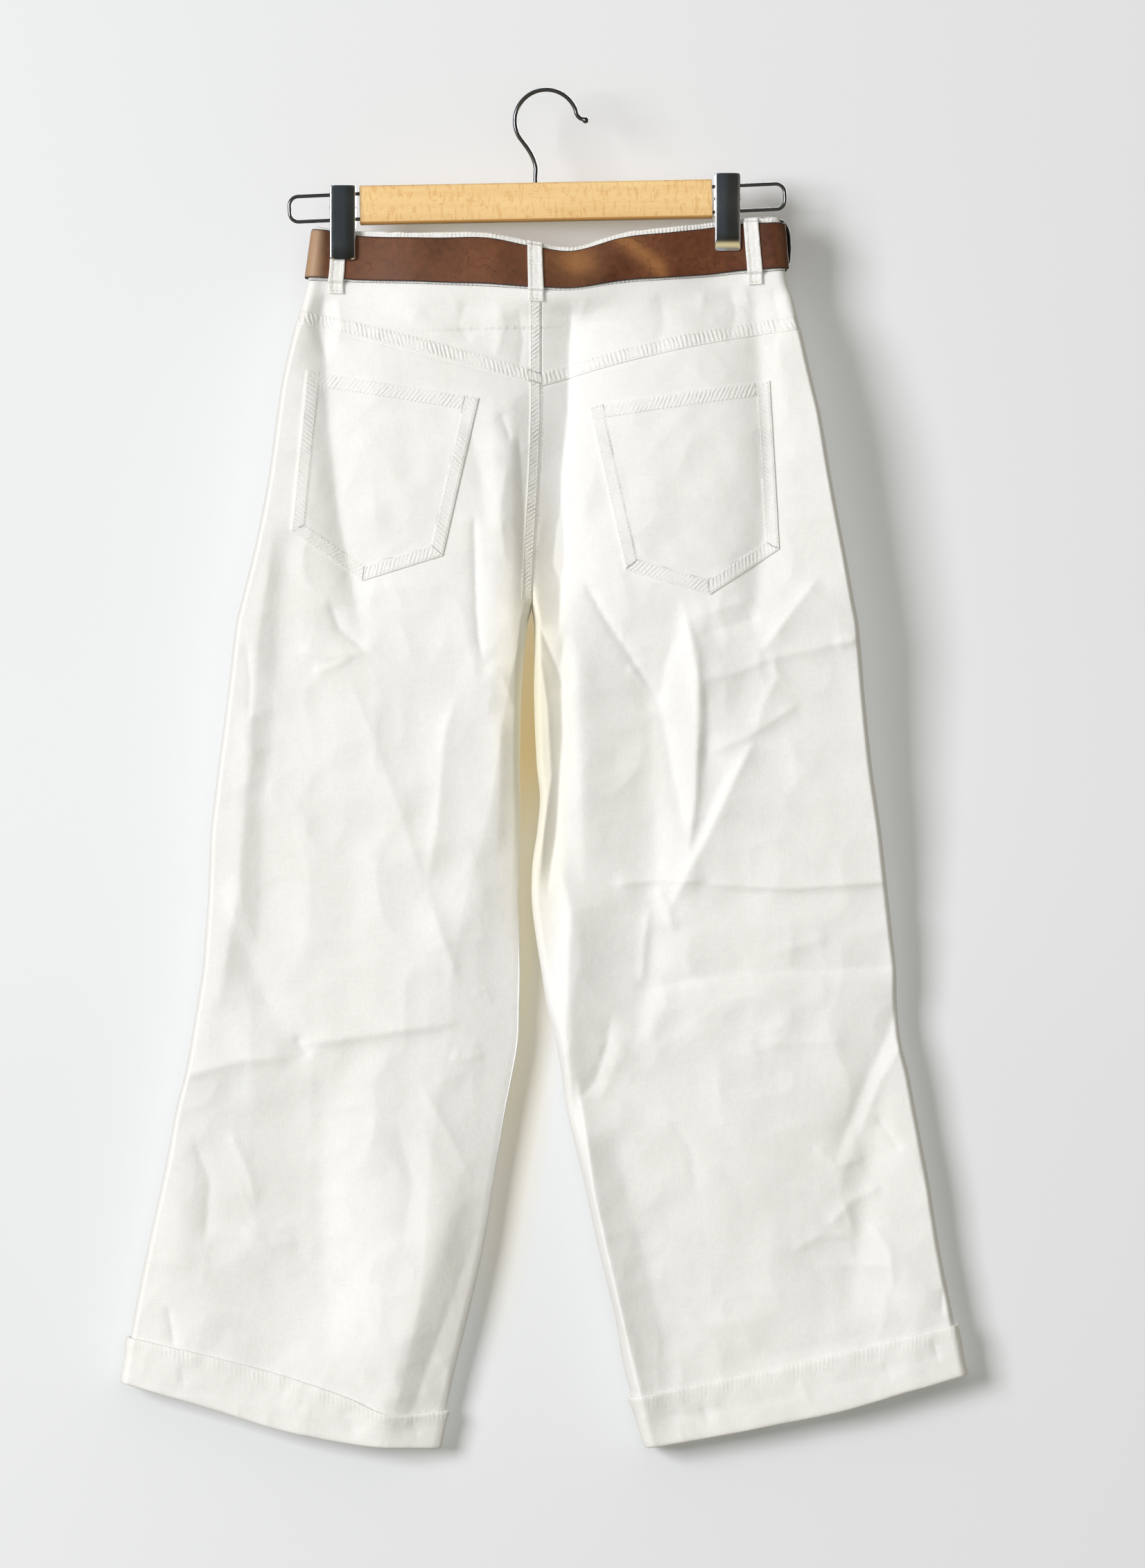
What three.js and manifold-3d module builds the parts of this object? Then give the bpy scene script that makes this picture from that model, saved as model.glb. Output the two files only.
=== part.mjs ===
// Wide leg jeans with a leather belt, hung by the waist from a clip hanger.
// Millimetres. +X is the wearer's right, -Y the wearer's back and +Z up.
// The origin is the inside top of the hook, where a rail or a nail carries it all.
import * as THREE from 'three';
import Module from 'manifold-3d';
import { mergeVertices } from 'three/addons/utils/BufferGeometryUtils.js';

const wasm = await Module();
wasm.setup();

// ---------------------------------------------------------------- driving dimensions
const GAP = 0.3;               // clearance between two pieces that touch
const DENIM = 1.4;             // wall of one ply of denim with its finish
const BAND = 2.4;              // waistband, two plies
const PATCH = 1.5;             // patch pocket or fly, one ply with turned edges
const CUFF = 2.8;              // turned-up cuff, two plies
const LOOP = 1.8;              // belt loop, folded strip
const LEATHER = 3.2;           // belt strap
const SIDE_ROUND = 16;         // reach of the rounded fold at a leg's side
const INSEAM_ROUND = 12.8;     // reach of the rounded fold at an inseam
const WAIST_ROUND = 9;         // reach of the rounded turn at the waist's side
const WAIST_LEFT = -186;       // waistband's left turn, with the waist drawn level
const WAIST_RIGHT = 187;       // waistband's right turn
const CENTRE = -4;             // centre seams at the waist
const BAND_HEIGHT = 41;        // waistband from edge to edge
const WAIST_BLEND = 60;        // height over which the waist's depth fades into the seat's
const FOLD_START = 20;         // height below the waistband over which folds set in
const CROTCH = -402;           // height of the crotch point
const CROTCH_CURVE = 34;       // height over which the seat seam turns under
const BELT_TOP = 0.1;          // belt's upper edge, as a share of the waistband's height
const BELT_LOW = 0.965;        // belt's lower edge, as a share of the waistband's height
const YOKE_CENTRE = -230.6;    // height of the yoke seam at the centre back
const BACK_COLUMNS = 14;
const FRONT_COLUMNS = 10;
const BACK_ROWS = 30;
const FRONT_ROWS = 20;

// The garment's level sections: edges across, and half its depth behind and in front.
const SECTIONS = [
  { z: -98, leftOuter: -178.5, leftInner: -4.0, rightInner: -4.0, rightOuter: 182.3, back: 16, front: 12 },
  { z: -147, leftOuter: -185.7, leftInner: -3.8, rightInner: -3.8, rightOuter: 187.8, back: 20, front: 14 },
  { z: -162, leftOuter: -189.5, leftInner: -3.8, rightInner: -3.8, rightOuter: 192.6, back: 20, front: 15 },
  { z: -186, leftOuter: -196.5, leftInner: -3.8, rightInner: -3.8, rightOuter: 198.6, back: 21, front: 16 },
  { z: -226, leftOuter: -205.7, leftInner: -3.8, rightInner: -3.8, rightOuter: 207.7, back: 23, front: 17 },
  { z: -254, leftOuter: -210.1, leftInner: -3.8, rightInner: -3.8, rightOuter: 214.4, back: 24, front: 18 },
  { z: -308, leftOuter: -217.6, leftInner: -5.9, rightInner: -5.9, rightOuter: 223.6, back: 23, front: 18 },
  { z: -362, leftOuter: -228.4, leftInner: -9.2, rightInner: -9.2, rightOuter: 233.8, back: 20, front: 16 },
  { z: -402, leftOuter: -238.5, leftInner: -11.3, rightInner: -11.3, rightOuter: 241.1, back: 18, front: 15 },
  { z: -418, leftOuter: -242.2, leftInner: -14.8, rightInner: -9.3, rightOuter: 244.1, back: 17, front: 15 },
  { z: -470, leftOuter: -248.4, leftInner: -19.4, rightInner: -9.6, rightOuter: 248.4, back: 16, front: 14 },
  { z: -524, leftOuter: -255.4, leftInner: -20.5, rightInner: -7.5, rightOuter: 253.8, back: 15, front: 14 },
  { z: -551, leftOuter: -258.7, leftInner: -20.3, rightInner: -4.9, rightOuter: 257.6, back: 15, front: 14 },
  { z: -578, leftOuter: -261.9, leftInner: -20.0, rightInner: -7.0, rightOuter: 261.4, back: 14, front: 13 },
  { z: -605, leftOuter: -263.0, leftInner: -20.8, rightInner: -10.8, rightOuter: 264.4, back: 14, front: 13 },
  { z: -632, leftOuter: -264.1, leftInner: -21.6, rightInner: -11.3, rightOuter: 267.3, back: 14, front: 13 },
  { z: -659, leftOuter: -266.2, leftInner: -20.9, rightInner: -8.1, rightOuter: 270.3, back: 14, front: 13 },
  { z: -686, leftOuter: -268.4, leftInner: -20.2, rightInner: -3.8, rightOuter: 273.2, back: 14, front: 13 },
  { z: -713, leftOuter: -272.6, leftInner: -20.9, rightInner: 0.5, rightOuter: 273.8, back: 15, front: 13 },
  { z: -740, leftOuter: -277.0, leftInner: -21.6, rightInner: 7.0, rightOuter: 276.5, back: 15, front: 13 },
  { z: -767, leftOuter: -282.0, leftInner: -26.0, rightInner: 11.9, rightOuter: 283.0, back: 15, front: 13 },
  { z: -791, leftOuter: -288.3, leftInner: -30.8, rightInner: 15.1, rightOuter: 287.5, back: 14, front: 13 },
  { z: -821, leftOuter: -294.0, leftInner: -36.0, rightInner: 22.1, rightOuter: 293.2, back: 14, front: 13 },
  { z: -848, leftOuter: -299.2, leftInner: -40.5, rightInner: 28.6, rightOuter: 298.4, back: 14, front: 13 },
  { z: -902, leftOuter: -311.0, leftInner: -49.1, rightInner: 40.5, rightOuter: 306.9, back: 14, front: 13 },
  { z: -956, leftOuter: -321.6, leftInner: -61.0, rightInner: 53.5, rightOuter: 317.5, back: 14, front: 12 },
  { z: -1000, leftOuter: -328.6, leftInner: -72.0, rightInner: 61.6, rightOuter: 326.0, back: 13, front: 12 },
  { z: -1057, leftOuter: -340.0, leftInner: -84.5, rightInner: 79.0, rightOuter: 336.0, back: 13, front: 12 },
];

// The waistband's run across the back: its edges' heights and its half depth at each edge.
const WAIST_BACK = [
  { x: -186, top: -105.5, low: -147.5, topDepth: 8, lowDepth: 9 },
  { x: -172, top: -107.4, low: -148.0, topDepth: 4.6, lowDepth: 4.6 },
  { x: -147, top: -109.3, low: -149.0, topDepth: 4.6, lowDepth: 4.6 },
  { x: -100, top: -110.6, low: -150.8, topDepth: 9, lowDepth: 15 },
  { x: -48, top: -110.7, low: -153.0, topDepth: 8, lowDepth: 19 },
  { x: -10, top: -117.6, low: -155.4, topDepth: 5, lowDepth: 22 },
  { x: 20, top: -121.4, low: -156.2, topDepth: 5, lowDepth: 21 },
  { x: 60, top: -110.7, low: -150.2, topDepth: 8, lowDepth: 16 },
  { x: 100, top: -106.0, low: -147.0, topDepth: 9, lowDepth: 11 },
  { x: 130, top: -102.6, low: -144.6, topDepth: 4.6, lowDepth: 4.6 },
  { x: 154, top: -99.8, low: -142.0, topDepth: 4.6, lowDepth: 4.6 },
  { x: 187, top: -98.2, low: -139.8, topDepth: 8, lowDepth: 9 },
];

// The same across the front, where the rise is lower.
const WAIST_FRONT = [
  { x: -186, top: -105.5, low: -147.5, topDepth: 8, lowDepth: 9 },
  { x: -172, top: -107.4, low: -148.0, topDepth: 4.6, lowDepth: 4.6 },
  { x: -147, top: -109.7, low: -150.0, topDepth: 4.6, lowDepth: 4.6 },
  { x: -80, top: -118.0, low: -158.5, topDepth: 9, lowDepth: 12 },
  { x: -4, top: -126.0, low: -167.0, topDepth: 10, lowDepth: 13 },
  { x: 70, top: -115.0, low: -156.0, topDepth: 9, lowDepth: 12 },
  { x: 130, top: -103.0, low: -145.2, topDepth: 4.6, lowDepth: 4.6 },
  { x: 154, top: -99.8, low: -142.0, topDepth: 4.6, lowDepth: 4.6 },
  { x: 187, top: -98.2, low: -139.8, topDepth: 8, lowDepth: 9 },
];

// Where each leg's back panel starts and where its cuff starts and ends, at both edges.
const LEGS = {
  left: {
    yokeOuter: -181.4, yokeBow: 2, cuffOuter: -972, cuffInner: -1030.3, hemOuter: -1004.4, hemInner: -1056.8,
  },
  right: {
    yokeOuter: -186.3, yokeBow: 5, cuffOuter: -962.3, cuffInner: -1019, hemOuter: -998.5, hemInner: -1055.2,
  },
};

// How far the cuff's upper edge and the hem sag below a straight line, at shares of the way
// from the side to the inseam.
const SAGS = {
  left: [
    { share: 0, cuff: 0, hem: 0 },
    { share: 0.27, cuff: 0, hem: -5 },
    { share: 0.5, cuff: -2, hem: -10 },
    { share: 0.7, cuff: -7, hem: -10 },
    { share: 0.82, cuff: -12, hem: -8 },
    { share: 1, cuff: 0, hem: 0 },
  ],
  right: [
    { share: 0, cuff: 0, hem: 0 },
    { share: 0.16, cuff: -1, hem: -2 },
    { share: 0.4, cuff: -2.4, hem: -5.4 },
    { share: 0.62, cuff: -2.4, hem: -4 },
    { share: 0.82, cuff: -1.2, hem: -2.2 },
    { share: 1, cuff: 0, hem: 0 },
  ],
};

// The largest folds behind: a line from one end to the other, its width and its height out.
const BACK_FOLDS = [
  { name: 'seat valley, upper', x0: 20, z0: -167, x1: 13, z1: -248, width: 8, height: -6 },
  { name: 'seat valley, lower', x0: 13, z0: -248, x1: 3, z1: -372, width: 8, height: -6 },
  { name: 'seat ridge', x0: 24, z0: -254, x1: 22, z1: -445, width: 11, height: 5 },
  { name: 'inner thigh strip', x0: 8, z0: -470, x1: -2, z1: -620, width: 6, height: -5 },
  { name: 'thigh facet edge', x0: 115, z0: -448, x1: 112, z1: -580, width: 10, height: 4 },
  { name: 'thigh facet hollow', x0: 128, z0: -460, x1: 124, z1: -560, width: 12, height: -4 },
  { name: 'outer thigh hollow', x0: 127, z0: -521, x1: 193, z1: -478, width: 9, height: -4 },
  { name: 'thigh branch', x0: 166, z0: -500, x1: 96, z1: -634, width: 9, height: 4 },
  { name: 'right knee line', x0: 74, z0: -699, x1: 262, z1: -681, width: 9, height: -3 },
  { name: 'right shin fold, upper', x0: 270, z0: -700, x1: 250, z1: -772, width: 10, height: -5 },
  { name: 'right shin fold, lower', x0: 250, z0: -772, x1: 222, z1: -826, width: 11, height: -4 },
  { name: 'right inner notch', x0: 50, z0: -735, x1: 24, z1: -786, width: 10, height: -4 },
  { name: 'right inner run', x0: 50, z0: -800, x1: 74, z1: -983, width: 13, height: -3 },
  { name: 'left outer band, upper', x0: -210, z0: -378, x1: -226, z1: -524, width: 15, height: -4 },
  { name: 'left outer band, lower', x0: -226, z0: -524, x1: -254, z1: -720, width: 15, height: -3 },
  { name: 'band through pocket', x0: -178, z0: -290, x1: -166, z1: -400, width: 13, height: -4 },
  { name: 'left thigh line, outer', x0: -154, z0: -459, x1: -95, z1: -624, width: 11, height: 3 },
  { name: 'left thigh line, inner', x0: -75, z0: -470, x1: -95, z1: -624, width: 11, height: 3 },
  { name: 'left thigh line, foot', x0: -95, z0: -624, x1: -68, z1: -720, width: 12, height: 3 },
  { name: 'left knee crease', x0: -262, z0: -757, x1: -72, z1: -728, width: 9, height: -4 },
  { name: 'sharp line by pocket', x0: -56, z0: -329, x1: -49, z1: -445, width: 8, height: -5 },
  { name: 'left seat hollow', x0: -26, z0: -236, x1: -22, z1: -340, width: 8, height: -4 },
  { name: 'left inner ridge', x0: -43, z0: -459, x1: -43, z1: -686, width: 9, height: 3 },
  { name: 'left shin ridge', x0: -91, z0: -880, x1: -126, z1: -1022, width: 12, height: 4 },
  { name: 'left shin hollow', x0: -74, z0: -848, x1: -104, z1: -1028, width: 11, height: -4 },
];

// Folds of the same kind in front.
const FRONT_FOLDS = [
  { name: 'left hip drag', x0: -60, z0: -250, x1: -150, z1: -330, width: 14, height: -4 },
  { name: 'left thigh run', x0: -120, z0: -420, x1: -150, z1: -640, width: 13, height: 3 },
  { name: 'left knee crease', x0: -250, z0: -742, x1: -60, z1: -760, width: 10, height: -4 },
  { name: 'left shin run', x0: -150, z0: -800, x1: -205, z1: -985, width: 14, height: -4 },
  { name: 'right hip drag', x0: 50, z0: -250, x1: 150, z1: -320, width: 14, height: -4 },
  { name: 'right thigh run', x0: 95, z0: -430, x1: 130, z1: -620, width: 13, height: 3 },
  { name: 'right knee crease', x0: 40, z0: -728, x1: 250, z1: -700, width: 10, height: -4 },
  { name: 'right shin run', x0: 150, z0: -780, x1: 215, z1: -975, width: 14, height: -4 },
];

// Patch pockets: corners across (x) and up (z), with the point at the bottom.
const POCKETS = {
  left: [[-186.3, -218.7], [-52.4, -240.3], [-80.5, -362.9], [-143.6, -382.3], [-198.7, -344.0]],
  right: [[32.9, -246.2], [173.9, -226.3], [181.4, -357.5], [127.4, -393.1], [61.6, -374.2]],
};

// Belt loops: the place across of the loop's middle at its top and its foot, and the
// number of belt plies under it. A foot reaches this far under the waistband.
const BELT_LOOPS = [
  { name: 'belt_loop_back_left', face: 'back', top: -166.8, foot: -164.0, plies: 1 },
  { name: 'belt_loop_back_centre', face: 'back', top: -10.0, foot: -8.4, plies: 1 },
  { name: 'belt_loop_back_right', face: 'back', top: 163.0, foot: 162.8, plies: 1 },
  { name: 'belt_loop_front_left', face: 'front', top: -92.0, foot: -92.0, plies: 1 },
  { name: 'belt_loop_front_right', face: 'front', top: 92.0, foot: 92.0, plies: 2 },
];
const LOOP_WIDTH = 12;
const LOOP_FOOT = 9.5;
const LOOP_LIFT = { back: 0.9, front: 1.9 };  // how far a loop's foot lies off the form

// Belt, buckle and fastenings across the front.
const FIRST_PLY = 0.4;         // belt's clearance from the waistband
const BUCKLE = {
  heelX: 156.2, farX: 190.0, heelY: 6.6, farY: 11.6, z: -121, height: 48, bar: 3.2, square: 3, heelBar: 3,
};
const PRONG = { from: [163.5, 14.2], to: [190.6, 15.4], radius: 1.2 };
const KEEPER = { x: 114, wall: 1.5, margin: 0.035, clear: 6, ease: 9 };
const BUTTON = { x: -13, radius: 8.5, height: 3.4, lean: 4, clear: 12, ease: 28 };
const BUTTON_RELIEF = 4.4;     // how far the belt stands off over the button
const FLY = { width: 40, length: 165, top: -172, edge: -4.6 };

// Hanger: a beech bar, a bent wire hook, a wire loop and a sprung clip at each end.
const BAR = { x: -8, z: -86.8, length: 275, height: 29.5, thickness: 13, tilt: 1.12, chamfer: 2.5 };
const HOOK = {
  wire: 3.2, radius: 24.5, centreX: 0, stemX: -8.4, start: 12, end: 222, sunk: 9, ball: 2.5, hole: 2.1,
};
const WIRE = { diameter: 2.8, spacing: 19.8, corner: 7, sunk: 6, tilt: 2.6, hole: 2 };
const WIRE_LOOPS = [
  { name: 'wire_loop_left', side: -1, root: -145.4, z: -89.55, reach: 55 },
  { name: 'wire_loop_right', side: 1, root: 129.4, z: -84.1, reach: 56.9 },
];
const CLIP = {
  width: 20, sheet: 1.2, flange: 33, lap: 2.8, slack: 0.9, pin: 2.4, head: 0.6,
  spring: 1.2, coil: 2.2, coilLength: 10, turns: 4,
};
const CLIPS = [
  { name: 'clip_left', x: -158.5, top: -74.0, foot: -131.8, back: -10.6, front: 8.7, wires: -90.2 },
  { name: 'clip_right', x: 141.4, top: -64.3, foot: -124.9, back: -8.6, front: 12.1, wires: -83.6 },
];

// ---------------------------------------------------------------- small mathematics
const mix = (a, b, t) => a + (b - a) * t;
const clamp = (value, low, high) => Math.min(high, Math.max(low, value));
const smooth = (t) => {
  const u = clamp(t, 0, 1);
  return u * u * (3 - 2 * u);
};

// A table read at any place: a cubic through its rows, with the slopes of its neighbours.
function read(table, key, column, at) {
  const rising = table[table.length - 1][key] > table[0][key];
  const rows = rising ? table : [...table].reverse();
  const last = rows.length - 1;
  if (at <= rows[0][key]) {
    return rows[0][column];
  }
  if (at >= rows[last][key]) {
    return rows[last][column];
  }
  let i = 0;
  while (rows[i + 1][key] < at) {
    i += 1;
  }
  const slope = (j) => {
    const a = Math.max(0, j - 1);
    const b = Math.min(last, j + 1);
    return (rows[b][column] - rows[a][column]) / (rows[b][key] - rows[a][key]);
  };
  const span = rows[i + 1][key] - rows[i][key];
  const t = (at - rows[i][key]) / span;
  const h1 = t * t * (3 - 2 * t);
  const h2 = t * (1 - t) * (1 - t);
  const h3 = t * t * (t - 1);
  return mix(rows[i][column], rows[i + 1][column], h1) + span * (h2 * slope(i) + h3 * slope(i + 1));
}

// ---------------------------------------------------------------- the garment's form
const outerEdge = (leg, z) => read(SECTIONS, 'z', `${leg}Outer`, z);
const innerEdge = (leg, z) => read(SECTIONS, 'z', `${leg}Inner`, z);
const sideOf = (leg) => (leg === 'left' ? -1 : 1);
const turnOf = (leg) => (leg === 'left' ? WAIST_LEFT : WAIST_RIGHT);
const waistTable = (face) => (face === 'back' ? WAIST_BACK : WAIST_FRONT);
const waistLow = (face, x) => read(waistTable(face), 'x', 'low', x);

// How far a rounded fold stands out at a distance in from its edge, from 0 to 1.
const roundness = (distance, reach) => {
  const t = 1 - clamp(distance / reach, 0, 1);
  return Math.sqrt(1 - t * t);
};

// How far folds raise or sink the cloth: each is a soft ridge along its line.
function foldHeight(folds, x, z) {
  let height = 0;
  for (const fold of folds) {
    const dx = fold.x1 - fold.x0;
    const dz = fold.z1 - fold.z0;
    const along = clamp(((x - fold.x0) * dx + (z - fold.z0) * dz) / (dx * dx + dz * dz), 0, 1);
    const away = Math.hypot(x - fold.x0 - along * dx, z - fold.z0 - along * dz);
    height += fold.height * Math.exp(-((away / fold.width) ** 2));
  }
  return height;
}

// Half the garment's depth at a place on one face: the section's depth, fading into the
// waist's, rounded down to nothing at the sides and inseams, with the folds added.
function depthAt(leg, face, x, z) {
  const low = waistLow(face, x);
  const below = smooth((low - z) / WAIST_BLEND);
  const seat = read(SECTIONS, 'z', face, z);
  const waist = read(waistTable(face), 'x', 'lowDepth', x);
  const side = roundness(Math.abs(x - outerEdge(leg, z)), mix(WAIST_ROUND, SIDE_ROUND, below));
  const under = clamp((CROTCH + CROTCH_CURVE - z) / CROTCH_CURVE, 0, 1);
  const inseam = roundness(Math.abs(x - innerEdge(leg, z)), INSEAM_ROUND);
  const open = z > CROTCH ? Math.sqrt(1 - under * under) : 0;
  const inner = mix(inseam, 1, open);
  const folds = foldHeight(face === 'back' ? BACK_FOLDS : FRONT_FOLDS, x, z) * smooth((low - z) / FOLD_START);
  return (mix(waist, seat, below) + folds) * side * inner;
}

// A point of one face. The two faces keep half a gap each side of the seam between them.
function facePoint(leg, face, x, z) {
  const nearCrotch = z > CROTCH && Math.abs(x - innerEdge(leg, z)) < 1;
  const least = nearCrotch ? DENIM + GAP : GAP / 2;
  const depth = Math.max(least, depthAt(leg, face, x, z));
  return new THREE.Vector3(x, face === 'back' ? -depth : depth, z);
}

// ---------------------------------------------------------------- walls from grids of points
// A level direction out of the cloth at each point of a grid, from its neighbours along
// the row. Rows may close on themselves. An edge that meets its twin keeps the plane given.
function outwards(grid, closed, edgePlanes) {
  const centre = new THREE.Vector3();
  grid.flat().forEach((p) => centre.add(p));
  centre.divideScalar(grid.flat().length);
  centre.y = 0;
  let sum = 0;
  const normals = grid.map((row, i) => row.map((point, j) => {
    const n = row.length;
    const before = closed ? row[(j + n - 1) % n] : row[Math.max(0, j - 1)];
    const after = closed ? row[(j + 1) % n] : row[Math.min(n - 1, j + 1)];
    const normal = new THREE.Vector3(after.y - before.y, before.x - after.x, 0);
    const plane = edgePlanes ? edgePlanes(i, j) : null;
    if (plane === 'x') {
      normal.x = 0;
    }
    if (plane === 'y') {
      normal.y = 0;
    }
    normal.normalize();
    sum += normal.dot(point.clone().sub(centre));
    return normal;
  }));
  if (sum < 0) {
    normals.flat().forEach((n) => n.negate());
  }
  return normals;
}

// A closed wall between two copies of a grid, each moved out along its directions. The
// distances may be numbers or functions of the row and column.
function wall(grid, directions, from, to, closed = false) {
  const rows = grid.length;
  const columns = grid[0].length;
  const positions = [];
  for (const distance of [to, from]) {
    grid.forEach((row, i) => row.forEach((point, j) => {
      const out = typeof distance === 'function' ? distance(i, j) : distance;
      const moved = point.clone().addScaledVector(directions[i][j], out);
      positions.push(moved.x, moved.y, moved.z);
    }));
  }
  const index = [];
  const at = (layer, i, j) => layer * rows * columns + i * columns + (j % columns);
  const quad = (a, b, c, d) => index.push(a, b, c, a, c, d);
  const spans = closed ? columns : columns - 1;
  for (let i = 0; i < rows - 1; i += 1) {
    for (let j = 0; j < spans; j += 1) {
      quad(at(0, i, j), at(0, i + 1, j), at(0, i + 1, j + 1), at(0, i, j + 1));
      quad(at(1, i, j), at(1, i, j + 1), at(1, i + 1, j + 1), at(1, i + 1, j));
    }
  }
  for (let j = 0; j < spans; j += 1) {
    quad(at(0, 0, j), at(0, 0, j + 1), at(1, 0, j + 1), at(1, 0, j));
    quad(at(0, rows - 1, j), at(1, rows - 1, j), at(1, rows - 1, j + 1), at(0, rows - 1, j + 1));
  }
  if (!closed) {
    for (let i = 0; i < rows - 1; i += 1) {
      quad(at(0, i, 0), at(1, i, 0), at(1, i + 1, 0), at(0, i + 1, 0));
      quad(at(0, i, spans), at(0, i + 1, spans), at(1, i + 1, spans), at(1, i, spans));
    }
  }
  return facingOut(positions, index);
}

// A geometry from points and triangles, turned over if its volume comes out negative.
function facingOut(positions, index) {
  const p = (k) => new THREE.Vector3(positions[3 * k], positions[3 * k + 1], positions[3 * k + 2]);
  let volume = 0;
  for (let k = 0; k < index.length; k += 3) {
    volume += p(index[k]).dot(p(index[k + 1]).cross(p(index[k + 2])));
  }
  if (volume < 0) {
    for (let k = 0; k < index.length; k += 3) {
      [index[k + 1], index[k + 2]] = [index[k + 2], index[k + 1]];
    }
  }
  const geometry = new THREE.BufferGeometry();
  geometry.setAttribute('position', new THREE.Float32BufferAttribute(positions, 3));
  geometry.setIndex(index);
  return geometry;
}

// ---------------------------------------------------------------- cuts and joins
function solid(geometry) {
  const bare = new THREE.BufferGeometry();
  bare.setAttribute('position', geometry.getAttribute('position').clone());
  if (geometry.index) {
    bare.setIndex(geometry.index.clone());
  }
  const merged = mergeVertices(bare, 1e-4);
  return new wasm.Manifold(new wasm.Mesh({
    numProp: 3,
    vertProperties: new Float32Array(merged.getAttribute('position').array),
    triVerts: new Uint32Array(merged.index.array),
  }));
}

function surface(manifold) {
  const mesh = manifold.getMesh();
  const geometry = new THREE.BufferGeometry();
  geometry.setAttribute('position', new THREE.Float32BufferAttribute(mesh.vertProperties, 3));
  geometry.setIndex(Array.from(mesh.triVerts));
  return geometry;
}

// A closed round bar along a closed line that lies level in y.
function ringTube(line, radius, sides) {
  const n = line.length;
  const positions = [];
  line.forEach((point, i) => {
    const along = line[(i + 1) % n].clone().sub(line[(i + n - 1) % n]).normalize();
    const out = new THREE.Vector3(along.z, 0, -along.x);
    for (let k = 0; k < sides; k += 1) {
      const angle = (k / sides) * 2 * Math.PI;
      const at = point.clone().addScaledVector(out, radius * Math.cos(angle));
      positions.push(at.x, at.y + radius * Math.sin(angle), at.z);
    }
  });
  const index = [];
  for (let i = 0; i < n; i += 1) {
    for (let k = 0; k < sides; k += 1) {
      const a = i * sides + k;
      const b = i * sides + ((k + 1) % sides);
      const c = ((i + 1) % n) * sides + ((k + 1) % sides);
      const d = ((i + 1) % n) * sides + k;
      index.push(a, b, c, a, c, d);
    }
  }
  return facingOut(positions, index);
}

// A prism with the outline given across and up, reaching this far behind or in front.
const PRISM_REACH = 80;
function prism(outline, face) {
  const shape = new THREE.Shape(outline.map(([x, z]) => new THREE.Vector2(x, z)));
  const geometry = new THREE.ExtrudeGeometry(shape, { depth: PRISM_REACH, bevelEnabled: false });
  geometry.rotateX(Math.PI / 2);
  if (face === 'front') {
    geometry.translate(0, PRISM_REACH, 0);
  }
  return solid(geometry);
}

function box(x0, y0, z0, x1, y1, z1) {
  const block = new THREE.BoxGeometry(x1 - x0, y1 - y0, z1 - z0);
  block.translate((x0 + x1) / 2, (y0 + y1) / 2, (z0 + z1) / 2);
  return solid(block);
}

// A rod along X, at a height.
function rodX(x0, x1, z, radius) {
  const rod = new THREE.CylinderGeometry(radius, radius, x1 - x0, 12);
  rod.rotateZ(Math.PI / 2).translate((x0 + x1) / 2, 0, z);
  return solid(rod);
}

// ---------------------------------------------------------------- materials and the group
const material = (colour, roughness, metalness) => new THREE.MeshStandardMaterial({
  color: new THREE.Color(colour),
  roughness,
  metalness,
});
const jeans = new THREE.Group();

function add(name, geometry, finish) {
  const mesh = new THREE.Mesh(geometry, finish);
  mesh.name = name;
  jeans.add(mesh);
  return mesh;
}

const DENIM_FINISH = ['#f1f0ea', 0.92, 0];
const LEATHER_FINISH = ['#6a4029', 0.5, 0];
const CHROME_FINISH = ['#c9ccd0', 0.12, 1];

// ---------------------------------------------------------------- leg panels
// Shares across a row, closer together at both edges where the cloth turns.
const across = (columns) => Array.from({ length: columns + 1 }, (_, j) => {
  const u = j / columns;
  return mix(u, (1 - Math.cos(Math.PI * u)) / 2, 0.8);
});

// The heights of a panel's rows at its two edges: even down to the cuff's upper edge, then two
// more. down is the share of the way to the cuff, and turned the share of the way over it.
function rowHeights(rows, topOuter, topInner, cut) {
  const body = Array.from({ length: rows - 1 }, (_, i) => {
    const down = i / (rows - 2);
    const outer = mix(topOuter, cut.cuffOuter, down);
    return { down, turned: 0, outer, inner: mix(topInner, cut.cuffInner, down) };
  });
  const cuff = [0.5, 1].map((turned) => {
    const outer = mix(cut.cuffOuter, cut.hemOuter, turned);
    return { down: 1, turned, outer, inner: mix(cut.cuffInner, cut.hemInner, turned) };
  });
  return [...body, ...cuff];
}

// The yoke seam's height at a share across from the side to the centre.
const yokeSeam = (cut, c) => mix(cut.yokeOuter, YOKE_CENTRE, c) + cut.yokeBow * 4 * c * (1 - c);

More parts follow.
